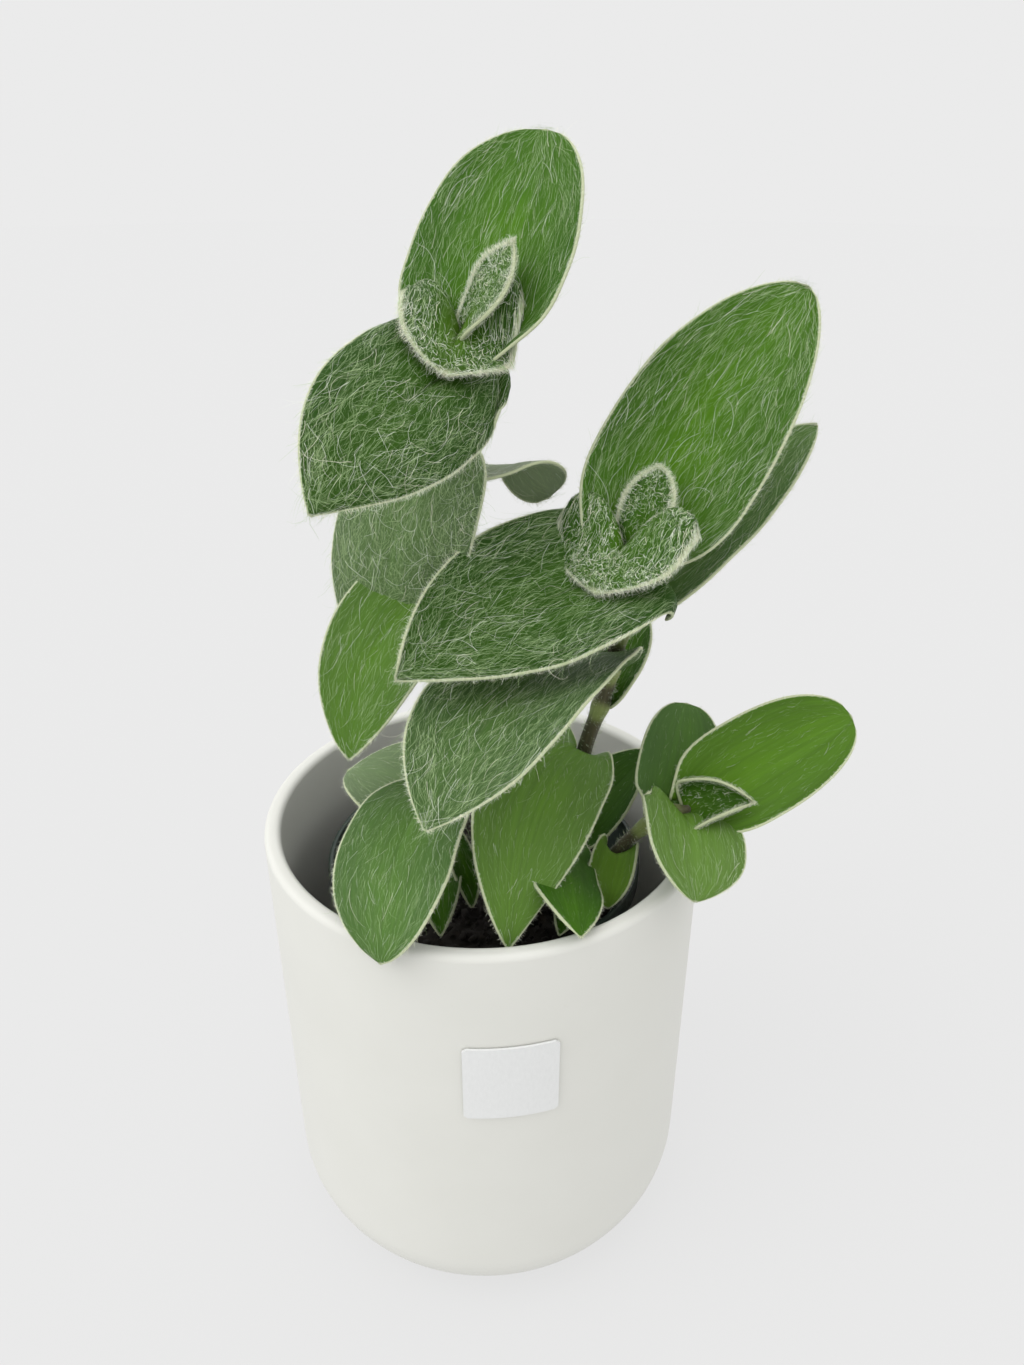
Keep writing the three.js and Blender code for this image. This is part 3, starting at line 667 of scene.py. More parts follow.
def soil(material, curves):
    """A low mound of peat: an uneven crust with loose crumbs sunk in it, closed down to the floor."""
    rng = np.random.default_rng(SEED)
    facets, low, shoulder, count = SOIL["facets"], SOIL["low"], SOIL["shoulder"], CRUMBS["count"]
    edge, foot = soil_radius(SOIL["level"]), soil_radius(low)
    radii, flat, height = soil_crust(curves, rng)
    wall = [(foot - shoulder, low), (foot, low + shoulder), (edge, SOIL["level"] - 2.5)]
    below = [np.column_stack([circle(facets) * radius, np.full(facets, z)]) for radius, z in wall]
    crust = np.concatenate([flat, height[..., None]], axis=-1)
    points = np.concatenate([np.stack(below), crust]).reshape(-1, 3)
    faces = [grid_faces(len(points) // facets, facets, closed=True), *end_fans(len(points), facets)]
    points = np.concatenate([points, [(0, 0, low), (0, 0, height[-1].mean())]])
    ball, triangles = crumb_shape()
    least, more = CRUMBS["radius"]
    radius = least + more * rng.random(count) ** 3
    spread = (edge - CRUMBS["margin"]) * np.sqrt(rng.random(count))
    turn = rng.uniform(0, 2 * math.pi, count)
    ring = np.clip(np.searchsorted(-radii, -spread), 0, len(radii) - 1)
    around = (turn / (2 * math.pi) * facets).astype(int) % facets
    level = height[ring, around] + radius * CRUMBS["up"]
    shapes = ball[None] * rng.uniform(*CRUMBS["uneven"], (count, len(ball), 1)) * radius[:, None, None]
    shapes = shapes * rng.uniform(*CRUMBS["stretch"], (count, 1, 3))
    shapes = shapes + np.column_stack([spread * np.cos(turn), spread * np.sin(turn), level])[:, None]
    crumb_faces = triangles[None] + (len(points) + np.arange(count) * len(ball))[:, None, None]
    points = np.concatenate([points, shapes.reshape(-1, 3)])
    piece = mesh_object("crumbly_soil", points, [*faces, crumb_faces.reshape(-1, 3)])
    return dress(piece, material, "potting_soil", "soil")


# Stems


def stem_curve(route):
    """A smooth curve through the route's points: its points, directions and distances from the foot."""
    p = np.array(route, dtype=float)
    p = np.concatenate([[2 * p[0] - p[1]], p, [2 * p[-1] - p[-2]]])
    points, slopes = [], []
    share = np.linspace(0, 1, 120, endpoint=False)[:, None]
    for before, start, end, after in zip(p, p[1:], p[2:], p[3:]):
        leave, arrive = (end - before) / 2, (after - start) / 2
        square = -3 * start + 3 * end - 2 * leave - arrive
        cube = 2 * start - 2 * end + leave + arrive
        points.append(start + leave * share + square * share ** 2 + cube * share ** 3)
        slopes.append(leave + 2 * square * share + 3 * cube * share ** 2)
    points = np.concatenate(points + [p[-2:-1]])
    slopes = np.concatenate(slopes + [slopes[-1][-1:]])
    steps = np.linalg.norm(np.diff(points, axis=0), axis=1)
    return {"points": points, "ahead": unit(slopes), "far": np.concatenate([[0], np.cumsum(steps)])}


def on_curve(curve, distance):
    """Point and direction at a distance along the stem."""
    place = [np.interp(distance, curve["far"], curve["points"][:, k]) for k in range(3)]
    ahead = [np.interp(distance, curve["far"], curve["ahead"][:, k]) for k in range(3)]
    return np.stack(place, axis=-1), unit(np.stack(ahead, axis=-1))


def stalk(name, curve, material):
    """A round stem, a little thicker at its nodes, with a short pale sheath below each."""
    length = curve["far"][-1]
    nodes = np.array([values["at"] for values in LEAVES[name]])
    distance = np.linspace(0, length - 0.5, int(length / STALK["spacing"]))
    place, ahead = on_curve(curve, distance)
    off = distance[:, None] - nodes[None]
    (below, broad, swollen), (under, tall, wrapped) = STALK["swell"], STALK["sheath"]
    swell = np.exp(-((off + below) / broad) ** 2).max(axis=1)
    sheath = np.exp(-((off + under) / tall) ** 4).max(axis=1)
    radius = STEMS[name]["radius"] * (1 - wrapped + swollen * swell + wrapped * sheath)
    radius = radius * np.clip((length - distance) / STALK["thinning"], 0.25, 1) ** 0.5
    sides = STALK["sides"]
    angle = np.linspace(0, 2 * math.pi, sides, endpoint=False)
    right = unit(np.cross(ahead, (0, 1, 0)))
    front = np.cross(right, ahead)
    rng = np.random.default_rng(SEED + len(name))
    ridges = 1 + 0.02 * np.sin(angle * STALK["ridges"] + rng.uniform(0, 6))
    spokes = right[:, None] * np.cos(angle)[None, :, None] - front[:, None] * np.sin(angle)[None, :, None]
    points = (place[:, None] + spokes * (radius[:, None] * ridges[None])[..., None]).reshape(-1, 3)
    ends = np.stack([place[0], place[-1] + ahead[-1] * 0.5])
    faces = [grid_faces(len(distance), sides, closed=True), *end_fans(len(points), sides)]
    piece = mesh_object(f"stalk_{name}", np.concatenate([points, ends]), faces)
    zones = np.repeat(np.stack([sheath, distance / length, 0 * distance], axis=1), sides, axis=0)
    around = np.tile(angle * STALK["lines"], len(distance))
    spots = np.column_stack([np.repeat(distance, sides), around, np.zeros(len(points))])
    for key, values in (("stem_zone", zones), ("stem_mm", spots)):
        add_vectors(piece, key, np.concatenate([values, values[[0, -1]]]))
    return dress(piece, material, "stem", f"stem_{name}")


# Leaves


def blade_frame(leaf, stem_ahead, along):
    """Direction of the midrib, across, and up out of the upper face, at shares of the length."""
    curled = np.clip((along - CURL_START) / CURL_SPAN, 0, 1)
    slope = np.radians(leaf["rise"] - leaf["droop"] * along - leaf["curl"] * curled)
    turn = np.radians(leaf["heading"] + leaf["sweep"] * (along - 0.5))
    flat = np.stack([np.cos(turn), np.sin(turn), 0 * turn], axis=-1)
    level = np.array([0, 0, 1.0])
    ahead = flat * np.cos(slope)[:, None] + level * np.sin(slope)[:, None]
    up = flat * -np.sin(slope)[:, None] + level * np.cos(slope)[:, None]
    across = np.cross(ahead, up)
    roll = -np.radians(leaf["roll"] + leaf["twist"] * along)[:, None]
    across = across * np.cos(roll) + np.cross(ahead, across) * np.sin(roll)
    clinging = np.exp(-((along * leaf["length"] / BEND) ** 2))[:, None]
    ahead = unit(ahead * (1 - clinging) + stem_ahead * clinging)
    across = unit(across - ahead * (across * ahead).sum(-1, keepdims=True))
    return ahead, across, np.cross(across, ahead)


def outline(leaf, along, base):
    """Half-width at shares of the length, as a share of the greatest half-width."""
    widest = leaf["widest"]
    short = np.clip((widest - along) / widest, 0, 1)
    before = 1 - (1 - base) * short ** BASE_POWER
    past = np.clip((along - widest) / (1 - widest), 0, 1)
    return np.where(along > widest, (1 - past ** TIP_POWER) ** leaf["blunt"], before)


def blade_surface(leaf, curve, rng):
    """The middle surface of a blade on a fine grid, with its normals and half-thickness."""
    node, stem_ahead = on_curve(curve, leaf["at"])
    length, half = leaf["length"], leaf["width"] / 2
    # The midrib's path, added up from its directions
    fine = np.linspace(0, 1, 201)
    ahead, _, up = blade_frame(leaf, stem_ahead, fine)
    steps = (ahead[1:] + ahead[:-1]) * (length / (2 * (len(fine) - 1)))
    start = node - up[0] * leaf["hold"]
    path = np.concatenate([[start], start + np.cumsum(steps, axis=0)])
    # Rows along the blade, closer at its base, and columns across it, closer at its midrib
    base_share = BASE_LENGTH / length
    near = np.linspace(0, base_share, BASE_ROWS + 1)[:-1]
    count = max(12, int(length / STEP_ALONG))
    along = np.concatenate([near, base_share + (1 - base_share) * np.linspace(0, 1, count) ** 0.9])
    rib_columns = np.array(RIB_COLUMNS) / half
    columns = np.linspace(rib_columns[-1], 1, max(5, int(half / STEP_ACROSS)) + 1)[1:]
    one_side = np.concatenate([rib_columns, columns])
    position = np.concatenate([-one_side[::-1], [0], one_side])
    hand, size = np.sign(position)[None], np.abs(position)[None]
    distance = along[:, None] * length
    settled = 1 - np.exp(-((distance / FOLDING) ** 2))
    # Half-width, bend across the blade and fold at the midrib, row by row
    rib = np.stack([np.interp(along, fine, path[:, k]) for k in range(3)], axis=-1)
    _, across, up = blade_frame(leaf, stem_ahead, along)
    clasp, cup = math.radians(leaf["clasp"]), math.radians(leaf["cup"])
    base_half = max(clasp * leaf["hold"], leaf["share"] * half)
    reach = half * outline(leaf, along, min(1, base_half / half))[:, None]
    if base_half > half:
        reach = reach + (base_half - half) * (1 - settled)
    reach = np.maximum(reach, TIP)
    bend = cup + (clasp - cup) * np.exp(-((distance / OPENING) ** 1.5))
    bend = np.where(np.abs(bend) < 1e-6, 1e-6, bend)
    fold = math.radians(leaf["fold"]) * (1 - along[:, None] / 2) * settled
    out = reach * np.sin(bend * size) / bend
    high = reach * (1 - np.cos(bend * size)) / bend
    sideways = hand * (out * np.cos(fold) - high * np.sin(fold))
    upward = out * np.sin(fold) + high * np.cos(fold)
    # Lobes that reach back past the stem, and waves of the margin
    turn, lift = math.radians(leaf["heading"]), math.radians(leaf["lift"])
    back = unit(np.array([-math.cos(turn), -math.sin(turn), math.tan(lift)]))
    lobed = np.sin(math.pi * size) ** LOBE_POWER if leaf["share"] else 0
    profile = lobed + leaf["corner"] * size ** 2
    lobe = leaf["lobe"] * profile * np.exp(-((along[:, None] / LOBE_SPREAD) ** 2))
    phase = rng.uniform(0, 2 * math.pi, 4)
    short = np.sin(distance / FRILL["short"] + phase[0] + hand * phase[1])
    long = np.sin(distance / FRILL["long"] + phase[2] + hand * phase[3])
    strength = FRILL["height"] * min(1, half / FRILL["full"]) * settled * size ** 3
    upward = upward + strength * (FRILL["share"] * short + long)
    points = rib[:, None] + across[:, None] * sideways[..., None] + up[:, None] * upward[..., None]
    points = points + back * lobe[..., None]
    normals = unit(np.cross(np.gradient(points, axis=1), np.gradient(points, axis=0)))
    thick = (MIDRIB + (EDGE - MIDRIB) * size) / 2 * np.clip((1 - along[:, None]) * length / 3, 0.35, 1)
    return {
        "along": along, "position": position, "points": points, "normals": normals, "half": thick,
        "reach": reach[:, 0], "length": length, "settled": settled[:, 0],
    }


def round_margin(surface, last, inner):
    """Rows of points round one margin, from the upper face to the lower one."""
    edge = surface["points"][:, last]
    outward = unit(edge - surface["points"][:, inner]) * MARGIN_ROUND
    upward = surface["normals"][:, last] * surface["half"][:, last, None]
    angles = np.radians(MARGIN_ANGLES)[None, :, None]
    return edge[:, None] + outward[:, None] * np.cos(angles) + upward[:, None] * np.sin(angles)


def blade_faces(rows, wide):
    """Faces round the closed blade, and the strips and corners that close its base and its tip."""
    extra = len(MARGIN_ANGLES)
    around = 2 * (wide + extra)
    last_row = (rows - 1) * around
    top = np.arange(wide - 1)
    bottom = 2 * wide + extra - 1 - top
    base = np.stack([top + 1, top, bottom, bottom - 1], axis=1)
    tip = np.stack([top, top + 1, bottom - 1, bottom], axis=1) + last_row
    right = np.arange(wide - 1, wide + extra + 1)
    left = np.concatenate([np.arange(2 * wide + extra - 1, around), [0]])
    corners = [np.stack([right[::-1], left[::-1]]), np.stack([right, left]) + last_row]
    return [grid_faces(rows, around, closed=True), base, tip, *corners]


def blade_layout(along, wide):
    """The flat layout: the body as one sheet, the two ends as strips, and their small corners."""
    rows, extra = len(along), len(MARGIN_ANGLES)
    around = 2 * (wide + extra)
    v = LAYOUT["low"] + LAYOUT["tall"] * along
    u = np.arange(around + 1) / (around + 1)
    sheet = np.zeros((rows - 1, around, 4, 2))
    for corner, (up, right) in enumerate(((0, 0), (0, 1), (1, 1), (1, 0))):
        sheet[:, :, corner, 0] = u[right:around + right][None]
        sheet[:, :, corner, 1] = v[up:rows - 1 + up][:, None]
    j = np.arange(wide - 1)
    strips = []
    for (low, high), (first, second) in zip(LAYOUT["strips"], ((j + 1, j), (j, j + 1))):
        strip = np.zeros((wide - 1, 4, 2))
        strip[:, (0, 3), 0] = first[:, None] / wide
        strip[:, (1, 2), 0] = second[:, None] / wide
        strip[:, :2, 1], strip[:, 2:, 1] = high, low
        strips.append(strip.reshape(-1, 2))
    step = LAYOUT["step"]
    k = np.arange(extra + 2)
    corners = np.zeros((4, extra + 2, 2))
    corners[:, :, 0] = LAYOUT["corner"] + 2 * step * k
    corners[:, :, 1] = step * (3 + 4 * np.arange(4)[:, None] + k % 2)
    return np.concatenate([sheet.reshape(-1, 2), *strips, corners.reshape(-1, 2)])


def paint_blade(piece, leaf, surface, across, order):
    """What the material reads: places in millimetres, colour zones, and how felted and pale it is."""
    rows, wide = across.shape
    along, reach = surface["along"][:, None], surface["reach"][:, None]
    width, warm, under = leaf["width"], leaf["warm"], UNDERSIDE
    far = along * surface["length"]
    line = surface["position"][None] * width / 2
    glow = np.exp(-((across / (GLOW_WIDTH * width)) ** 2)) * (GLOW_LEAST + (1 - GLOW_LEAST) * (1 - along))
    long, broad = (least + more * warm for least, more in (CHANNEL["length"], CHANNEL["width"]))
    base = np.exp(-((far / long) ** 2) - (across / broad) ** 2)
    base = base * (CHANNEL["least"] + (1 - CHANNEL["least"]) * warm)
    rim = (1 - np.abs(surface["position"]))[None] * reach
    rim = np.minimum(rim, (surface["length"] - far) * RIM_TIP) / (1 + RIM_YOUNG * leaf["young"])
    faces, margin = np.zeros((rows, wide)), np.zeros((rows, len(MARGIN_ANGLES)))

    def ringed(upper, lower, edge=0.0):
        parts = (upper + faces, edge + margin, (lower + faces)[:, ::-1], edge + margin)
        return np.concatenate(parts, axis=1).reshape(-1)

    felt, shade, grey = leaf["felt"], leaf["shade"], leaf["grey"]
    away = ringed(LEAF_AWAY * order, LEAF_AWAY * order, LEAF_AWAY * order)
    layers = {
        "leaf_mm": [ringed(far, far, far), ringed(line, line + under["away"], width / 2), away],
        "leaf_zone": [
            ringed(glow, glow * under["glow"]), ringed(base, base * under["base"]), ringed(rim, rim),
        ],
        "leaf_kind": [
            ringed(felt, felt, felt), ringed(shade, shade * under["shade"]),
            ringed(grey, grey * under["grey"] + under["greyer"]),
        ],
    }
    for name, values in layers.items():
        add_vectors(piece, name, np.stack(values, axis=1))


def blade_piece(name, leaf, surface, material, order, *nodes):
    """The closed blade: both faces, with a groove over the midrib and a keel below, and a round margin."""
    points, normals, half = surface["points"], surface["normals"], surface["half"]
    across = surface["position"][None] * surface["reach"][:, None]
    fade = (1 - surface["along"][:, None]) * surface["settled"][:, None]
    groove, keel = (depth * np.exp(-((across / width) ** 2)) * fade for depth, width in (GROOVE, KEEL))
    upper = points + normals * (half - groove)[..., None]
    lower = points - normals * (half + keel)[..., None]
    right, left = round_margin(surface, -1, -2), round_margin(surface, 0, 1)
    ring = np.concatenate([upper, right, lower[:, ::-1], left[:, ::-1]], axis=1)
    piece = mesh_object(name, ring.reshape(-1, 3), blade_faces(*across.shape))
    paint_blade(piece, leaf, surface, across, order)
    add_map(piece, blade_layout(surface["along"], across.shape[1]))
    return dress(piece, material, "leaf", *nodes)


# Hairs


# Layers of hairs on a blade: how many to a square millimetre at least, and more with felt; their
# length and width; their height above the face, its spread and its rare peak; the spread of their
# direction; how much they curl and waver; their steps; and the shares of white, cream and green ones
STRANDS = dict(
    least=0.012, felted=1.1, length=(3.5, 9), width=(0.035, 0.075), height=(0.08, 0.25, 0.9), spread=0.5,
    curl=0.16, wobble=0.2, steps=8, tints=(0.15, 0.05, 0.8),
)
HAZE = dict(
    least=0.3, felted=2.1, length=(2, 5), width=(0.02, 0.04), height=(0.03, 0.12, 0), spread=0.6,
    curl=0.2, wobble=0.25, steps=4, tints=(0.12, 0.03, 0.85),
)
WOOL = dict(
    least=0, felted=3.9, length=(0.8, 1.9), width=(0.08, 0.13), height=(0.12, 0.3, 0), spread=1.6,
    curl=0.9, wobble=0.6, steps=4, tints=(0.3, 0.1, 0.6),
)
FUZZ = dict(
    least=0, felted=2.2, length=(1, 3), width=(0.03, 0.05), height=(0.05, 0.6, 0), spread=0.9,
    curl=0.5, wobble=0.4, steps=4, tints=(0.6, 0.1, 0.3),
)
LOOSE = dict(
    least=0, felted=0.02, length=(7, 14), width=(0.06, 0.09), height=(0.3, 1.2, 0.8), spread=0.6,
    curl=0.2, wobble=0.15, steps=12, tints=(0.8, 0.2, 0),
)
# The felt below which a leaf has next to no long hairs, and that from which its hairs start to
# tangle and lie in full tangle
BARE, TANGLED = 0.12, (0.5, 0.75)
# The smooth channel at a leaf's base: its length and width, and how they grow with warm
SMOOTH = {"length": (5, 9), "width": (2, 3)}
# Share of the hairs that grow at the midrib's base, and how many more at the margin and the tip
GROWTH = {"least": 0.5, "edge": 0.3, "tip": 0.2}
# Least length and width of a hair, and how they grow with felt
FELT_LENGTH, FELT_WIDTH = (0.4, 1.1), (0.55, 0.8)
# Hairs of the margin: how many to a millimetre, and how many more with felt and on a young leaf;
# how the length grows with felt; the depth of their band, and how much deeper it is on a young leaf;
# their direction off the blade's length and its spread, in radians; and their height
FRINGE = {
    "count": (4, 12, 34), "length": (0.6, 1.7), "longer": (0.75, 0.45), "width": (0.05, 0.09),
    "band": (0.6, 0.9), "direction": (1.0, 0.5), "height": (-0.3, 0.35), "tints": (0.65, 0.35, 0),
}
# Hairs of a stem: where they start above its foot and end below its tip, how many there are to a
# millimetre, their reach out of it, how far they lean upward as middle and spread, and their bend
STEM_HAIRS = {
    "start": 22, "end": 4, "count": 14, "reach": (0.5, 1.4), "lean": (0.5, 0.6), "bend": 0.5,
    "width": (0.06, 0.1), "tints": (0.4, 0.3, 0.3),
}


def on_surface(surface, far, off, height, side):
    """Places above a blade, from millimetres along and across it; past its edge they go straight on."""
    length = surface["length"]
    along = np.clip(far / length, 0, 1)
    reach = np.interp(along, surface["along"], surface["reach"])
    share = np.clip(off / reach, -1, 1)
    row = np.interp(along, surface["along"], np.arange(len(surface["along"])))
    column = np.interp(share, surface["position"], np.arange(len(surface["position"])))
    i = np.minimum(row.astype(int), len(surface["along"]) - 2)
    j = np.minimum(column.astype(int), len(surface["position"]) - 2)
    a, b = (row - i)[..., None], (column - j)[..., None]

    def blend(values):
        near = values[i, j] * (1 - b) + values[i, j + 1] * b
        far_row = values[i + 1, j] * (1 - b) + values[i + 1, j + 1] * b
        return near * (1 - a) + far_row * a

    normal = unit(blend(surface["normals"]))
    half = blend(surface["half"][..., None])
    across = unit(surface["points"][i, j + 1] - surface["points"][i, j])
    ahead = unit(surface["points"][i + 1, j] - surface["points"][i, j])
    beyond_side = (off - share * reach)[..., None]
    beyond_tip = (far - along * length)[..., None]
    lift = normal * (side[..., None] * (half + height[..., None]))
    place = blend(surface["points"]) + lift + across * beyond_side + ahead * beyond_tip
    return place, normal


def hair_paths(surface, far, off, heading, length, side, height, rng, steps, curl, wobble):
    """Traces hairs over a blade: each bends and wavers, and rises a little and comes down."""
    step = length / steps
    fars, offs = [far], [off]
    bend = rng.normal(0, curl, len(far))
    for _ in range(steps):
        far = far + step * np.cos(heading)
        off = off + step * np.sin(heading)
        heading = heading + bend * step + rng.normal(0, wobble, len(far)) * np.sqrt(step)
        fars.append(far)
        offs.append(off)
    share = np.linspace(0, 1, steps + 1)[None]
    rise = np.sin(np.pi * np.minimum(1, share * 0.8 + 0.06)) * height[:, None] + 0.03
    sides = np.broadcast_to(side[:, None], (len(length), steps + 1))
    return on_surface(surface, np.stack(fars, 1), np.stack(offs, 1), rise, sides)


def ribbons(paths, outward, width, tints):
    """Points and faces of tapering ribbons along the paths, facing outward, with a tint for each face."""
    count, steps = paths.shape[0], paths.shape[1] - 1
    ahead = unit(np.gradient(paths, axis=1))
    sideways = unit(np.cross(ahead, outward))
    taper = (1 - 0.6 * np.linspace(0, 1, steps + 1)[:-1])[None, :, None]
    half = width[:, None, None] / 2 * taper
    one = paths[:, :-1] - sideways[:, :-1] * half
    other = paths[:, :-1] + sideways[:, :-1] * half
    pairs = np.stack([one, other], axis=2).reshape(count, 2 * steps, 3)
    points = np.concatenate([pairs, paths[:, -1:]], axis=1).reshape(-1, 3)
    k = np.arange(steps - 1) * 2
    quads = np.stack([k, k + 2, k + 3, k + 1], axis=1)
    tip = np.array([[2 * steps - 2, 2 * steps, 2 * steps - 1]])
    start = np.arange(count)[:, None, None] * (2 * steps + 1)
    faces = [(start + part[None]).reshape(-1, part.shape[1]) for part in (quads, tip)]
    return [points, *faces, np.repeat(tints, steps - 1), tints]


def hair_piece(name, bundles, materials):
    """One mesh of all the hairs of a leaf or stem."""
    bundles = [bundle for bundle in bundles if len(bundle[0])]
    starts = np.cumsum([0] + [len(bundle[0]) for bundle in bundles])
    for start, bundle in zip(starts, bundles):
        bundle[1:3] = [faces + start for faces in bundle[1:3]]
    points, quads, tips, quad_tints, tip_tints = (np.concatenate(parts) for parts in zip(*bundles))
    piece = mesh_object(name, points, [quads, tips])
    dress(piece, materials[0], "leaf")
    for material in materials[1:]:
        piece.data.materials.append(material)
    tints = np.concatenate([quad_tints, tip_tints]).astype(np.int32)
    piece.data.polygons.foreach_set("material_index", tints)
    return piece


def scatter(surface, density, rng):
    """Seeded spots all over a blade, in millimetres along and across it."""
    length, reach = surface["length"], surface["reach"]
    widest = reach.max()
    count = int(density * length * 2 * widest)
    far = rng.uniform(0, length, count)
    off = rng.uniform(-widest, widest, count)
    inside = np.abs(off) < np.interp(far / length, surface["along"], reach)
    return far[inside], off[inside]


def hair_layer(leaf, surface, kind, side, amount, rng):
    """One layer of hairs over one face of a blade. The channel at its base stays smooth."""
    felt, warm = leaf["felt"], leaf["warm"]
    density = kind["least"] + kind["felted"] * max(0, felt - BARE)
    far, off = scatter(surface, amount * density, rng)
    end = far / surface["length"]
    reach = np.interp(end, surface["along"], surface["reach"])
    long, broad = (least + more * warm for least, more in (SMOOTH["length"], SMOOTH["width"]))
    smooth = np.exp(-((far / long) ** 2) - (off / broad) ** 2)
    grown = GROWTH["least"] + GROWTH["edge"] * (off / reach) ** 2 + GROWTH["tip"] * end ** 2
    keep = rng.random(len(far)) < grown * (1 - smooth)
    far, off, end, reach = far[keep], off[keep], end[keep], reach[keep]
    count = len(far)
    # Hairs lie along the veins, and swirl where the felt is thick
    spots = np.stack([far, off], axis=1)
    swirl = soft_noise(spots, 26, rng) + 0.4 * soft_noise(spots, 8, rng)
    slopes = np.gradient(surface["reach"], surface["along"] * surface["length"])
    veins = np.clip(off / reach * np.interp(end, surface["along"], slopes), -0.8, 0.8)
    start, full = TANGLED
    tangle = np.clip((felt - start) / (full - start), 0, 1)
    spread = rng.normal(0, kind["spread"] * (0.4 + 0.6 * tangle), count)
    heading = veins + (0.1 + 0.25 * tangle) * swirl + spread
    longer, wider = (min(1, least + more * felt) for least, more in (FELT_LENGTH, FELT_WIDTH))
    length = rng.uniform(*kind["length"], count) * longer
    low, high, peak = kind["height"]
    height = low + high * rng.random(count) ** 2 + peak * rng.random(count) ** 14
    loose = 0.5 + 0.5 * tangle
    paths, outward = hair_paths(
        surface, far, off, heading, length, np.full(count, side), height, rng,
        steps=kind["steps"], curl=kind["curl"] * loose, wobble=kind["wobble"] * loose,
    )
    width = rng.uniform(*kind["width"], count) * wider
    return ribbons(paths, outward * side, width, rng.choice(3, count, p=kind["tints"]))


def fringe(leaf, surface, rng):
    """Short curly hairs that stand out all round the margin, in a deep soft band on a young leaf."""
    felt, young = leaf["felt"], leaf["young"]
    least, more, most = FRINGE["count"]
    count = int(2 * surface["length"] * (least + more * felt + most * young))
    far = np.sort(rng.uniform(0.02, 1, count) ** 0.9) * surface["length"]
    hand = rng.choice((-1, 1), count)
    reach = np.interp(far / surface["length"], surface["along"], surface["reach"])
    band, deeper = FRINGE["band"]
    off = hand * (reach - rng.uniform(0, band + deeper * young, count))
    heading = hand * rng.normal(*FRINGE["direction"], count)
    short, longer = FRINGE["longer"]
    length = rng.uniform(*FRINGE["length"], count) * (short + longer * felt)
    side = rng.choice((-1, 1), count)
    height = rng.uniform(*FRINGE["height"], count) * (1 + 0.6 * young)
    paths, outward = hair_paths(
        surface, far, off, heading, length, side, height, rng, steps=3, curl=0.7, wobble=0.45,
    )
    turn = rng.normal(size=outward[:, :1].shape)
    width = rng.uniform(*FRINGE["width"], count)
    return ribbons(paths, unit(outward + 0.6 * turn), width, rng.choice(3, count, p=FRINGE["tints"]))


def leaf_hairs(name, leaf, surface, materials, rng):
    """Hairs of both faces and the fringe of the margin."""
    layers = (WOOL, FUZZ) if leaf["young"] else (STRANDS, HAZE)
    upper, lower = (1, 1), (-1, 0.5)
    bundles = [hair_layer(leaf, surface, kind, *face, rng) for kind in layers for face in (upper, lower)]
    bundles.append(hair_layer(leaf, surface, LOOSE, *upper, rng))
    bundles.append(fringe(leaf, surface, rng))
    return hair_piece(name, bundles, materials)


def stem_hairs(name, curve, materials, rng):
    """Soft hairs that stand out of the stem and lean upward."""
    start, length = STEM_HAIRS["start"], curve["far"][-1]
    count = int((length - start) * STEM_HAIRS["count"])
    place, ahead = on_curve(curve, rng.uniform(start, length - STEM_HAIRS["end"], count))
    right = unit(np.cross(ahead, (0, 1, 0)))
    front = np.cross(right, ahead)
    angle = rng.uniform(0, 2 * math.pi, count)[:, None]
    out = right * np.cos(angle) + front * np.sin(angle)
    across = np.cross(ahead, out)
    reach = rng.uniform(*STEM_HAIRS["reach"], count)[:, None]
    lean = rng.normal(*STEM_HAIRS["lean"], count)[:, None]
    bend = rng.normal(0, STEM_HAIRS["bend"], count)[:, None]
    root = place + out * (STEMS[name]["radius"] * 0.9)
    leaning = (ahead * lean + across * bend) * reach
    paths = np.stack([root + out * reach * w + leaning * w ** 2 for w in (0, 0.4, 0.7, 1)], axis=1)
    outward = np.repeat(across[:, None], 4, axis=1)
    width = rng.uniform(*STEM_HAIRS["width"], count)
    bundle = ribbons(paths, outward, width, rng.choice(3, count, p=STEM_HAIRS["tints"]))
    return hair_piece(f"hairs_stalk_{name}", [bundle], materials)


# The plant


def plant(curves):
    """Each stem with its hairs, its folded youngest leaf and its leaves from the top down."""
    tissue, stem = leaf_material(), stem_material()
    hairs = [hair_material(name) for name in HAIR_COLOURS]
    for order, (name, curve) in enumerate(curves.items()):
        stalk(name, curve, stem)
        rng = np.random.default_rng(SEED + 50 * order)
        stem_hairs(name, curve, hairs, rng)
        bud = {**BLADE, **BUD_BASE, **BUDS[name], "at": curve["far"][-1] - BUD_ROOT}
        surface = blade_surface(bud, curve, rng)
        blade_piece(f"bud_{name}", bud, surface, tissue, order, f"stem_{name}")
        leaf_hairs(f"hairs_bud_{name}", bud, surface, hairs, rng)
        for number, values in enumerate(LEAVES[name], start=1):
            leaf = {**BLADE, **values}
            rng = np.random.default_rng(SEED + 50 * order + number)
            surface = blade_surface(leaf, curve, rng)
            label_of = f"{name}_{number}"
            blade_piece(f"blade_{label_of}", leaf, surface, tissue, 10 * order + number, f"leaf_{label_of}")
            leaf_hairs(f"hairs_{label_of}", leaf, surface, hairs, rng)


# The room


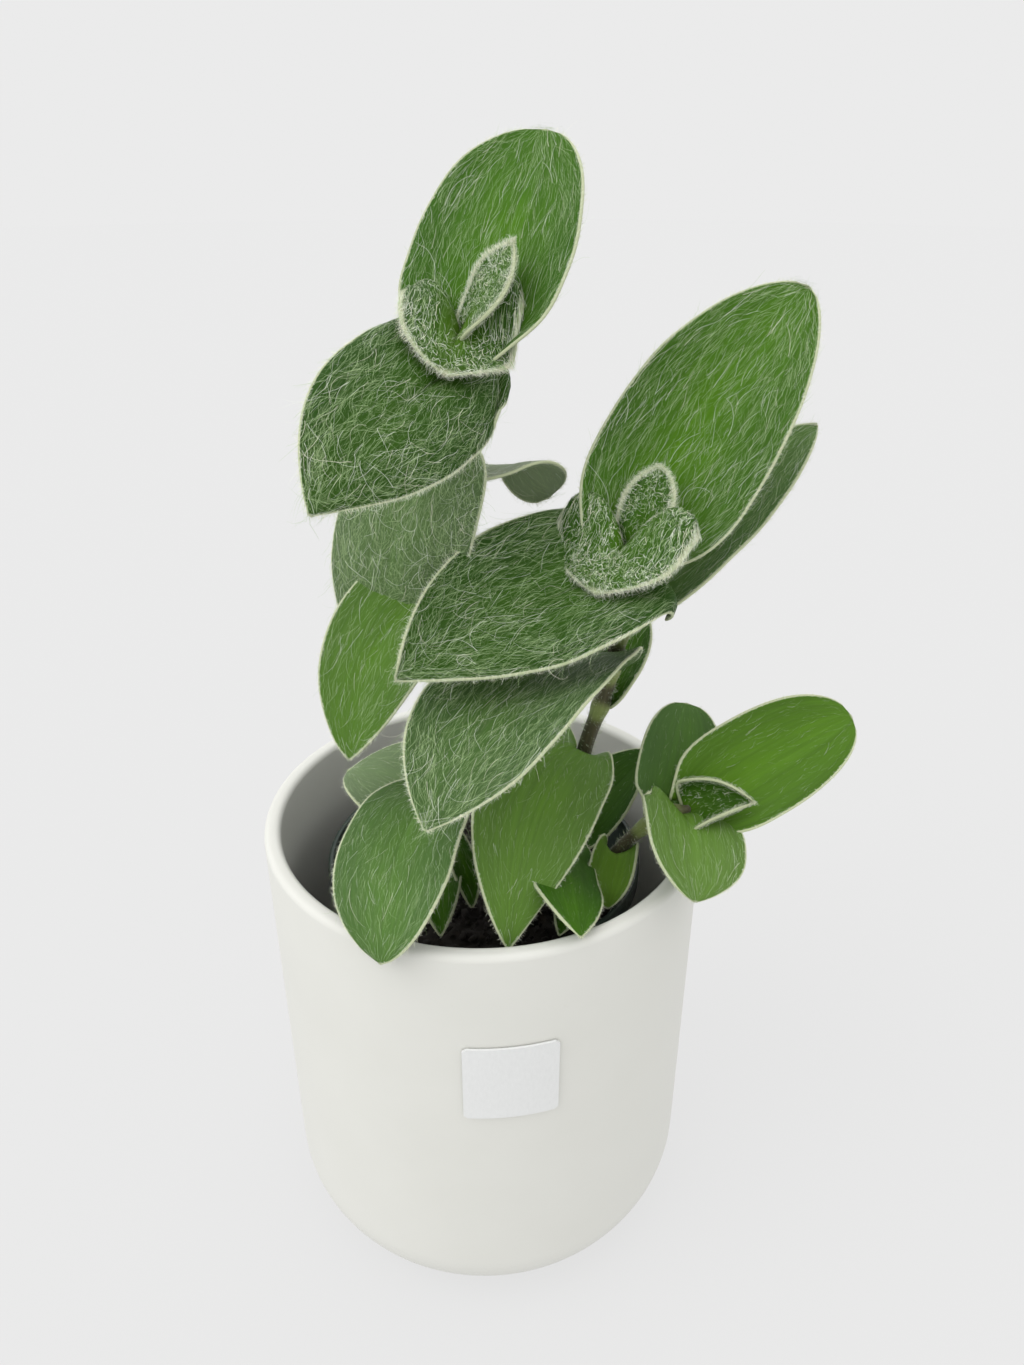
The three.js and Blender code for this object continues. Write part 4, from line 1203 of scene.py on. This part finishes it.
def room():
    """A wide pale floor, even surroundings of the same tone, and one broad soft lamp."""
    facets = FLOOR["facets"]
    points = np.column_stack([circle(facets) * FLOOR["radius"], np.full(facets, FLOOR["level"])])
    floor = mesh_object("pale_floor", points, [np.arange(facets)[None]], smooth=False)
    made = Shader("pale_floor")
    grey = FLOOR["albedo"]
    made.set(
        Base_Color=(grey, grey, grey, 1), Roughness=0.9, Specular_IOR_Level=0.0,
        Emission_Color=(1, 1, 1, 1), Emission_Strength=FLOOR["own_light"],
    )
    floor.data.materials.append(made.material)
    world = bpy.data.worlds.new("surroundings")
    world.use_nodes = True
    tree = world.node_tree
    place = tree.nodes.new("ShaderNodeTexCoord")
    parts = tree.nodes.new("ShaderNodeSeparateXYZ")
    rise = tree.nodes.new("ShaderNodeMapRange")
    rise.interpolation_type = "SMOOTHSTEP"
    rise.inputs["From Min"].default_value = SURROUND["from"]
    rise.inputs["To Min"].default_value = SURROUND["level"]
    rise.inputs["To Max"].default_value = SURROUND["above"]
    tree.links.new(place.outputs["Generated"], parts.inputs[0])
    tree.links.new(parts.outputs["Z"], rise.inputs["Value"])
    tree.links.new(rise.outputs[0], tree.nodes["Background"].inputs["Strength"])
    tree.nodes["Background"].inputs["Color"].default_value = (1, 1, 1, 1)
    bpy.context.scene.world = world
    lamp = bpy.data.objects.new("broad_lamp", bpy.data.lights.new("broad_lamp", "SUN"))
    lamp.data.energy = LAMP["strength"]
    lamp.data.angle = math.radians(LAMP["width"])
    lamp.rotation_euler = (math.radians(LAMP["tilt"]), 0, math.radians(LAMP["turn"]))
    bpy.context.scene.collection.objects.link(lamp)


def camera():
    """The camera of the photograph, with the picture's height as its fixed side."""
    made = bpy.data.objects.new("camera", bpy.data.cameras.new("camera"))
    made.data.sensor_fit = "VERTICAL"
    made.data.sensor_height = CAMERA["frame"]
    made.data.lens = CAMERA["lens"]
    made.data.clip_start = 0.01
    made.location = Vector(CAMERA["place"]) * MM
    made.rotation_euler = (math.radians(90 - CAMERA["pitch"]), 0, 0)
    bpy.context.scene.collection.objects.link(made)
    bpy.context.scene.camera = made


def main():
    """The room and the camera, then each piece."""
    bpy.context.scene.view_settings.view_transform = "Standard"
    camera()
    room()
    curves = {name: stem_curve(values["route"]) for name, values in STEMS.items()}
    cover_pot(ceramic_material())
    label(paper_material())
    nursery_pot(plastic_material())
    soil(soil_material(), curves)
    plant(curves)


main()
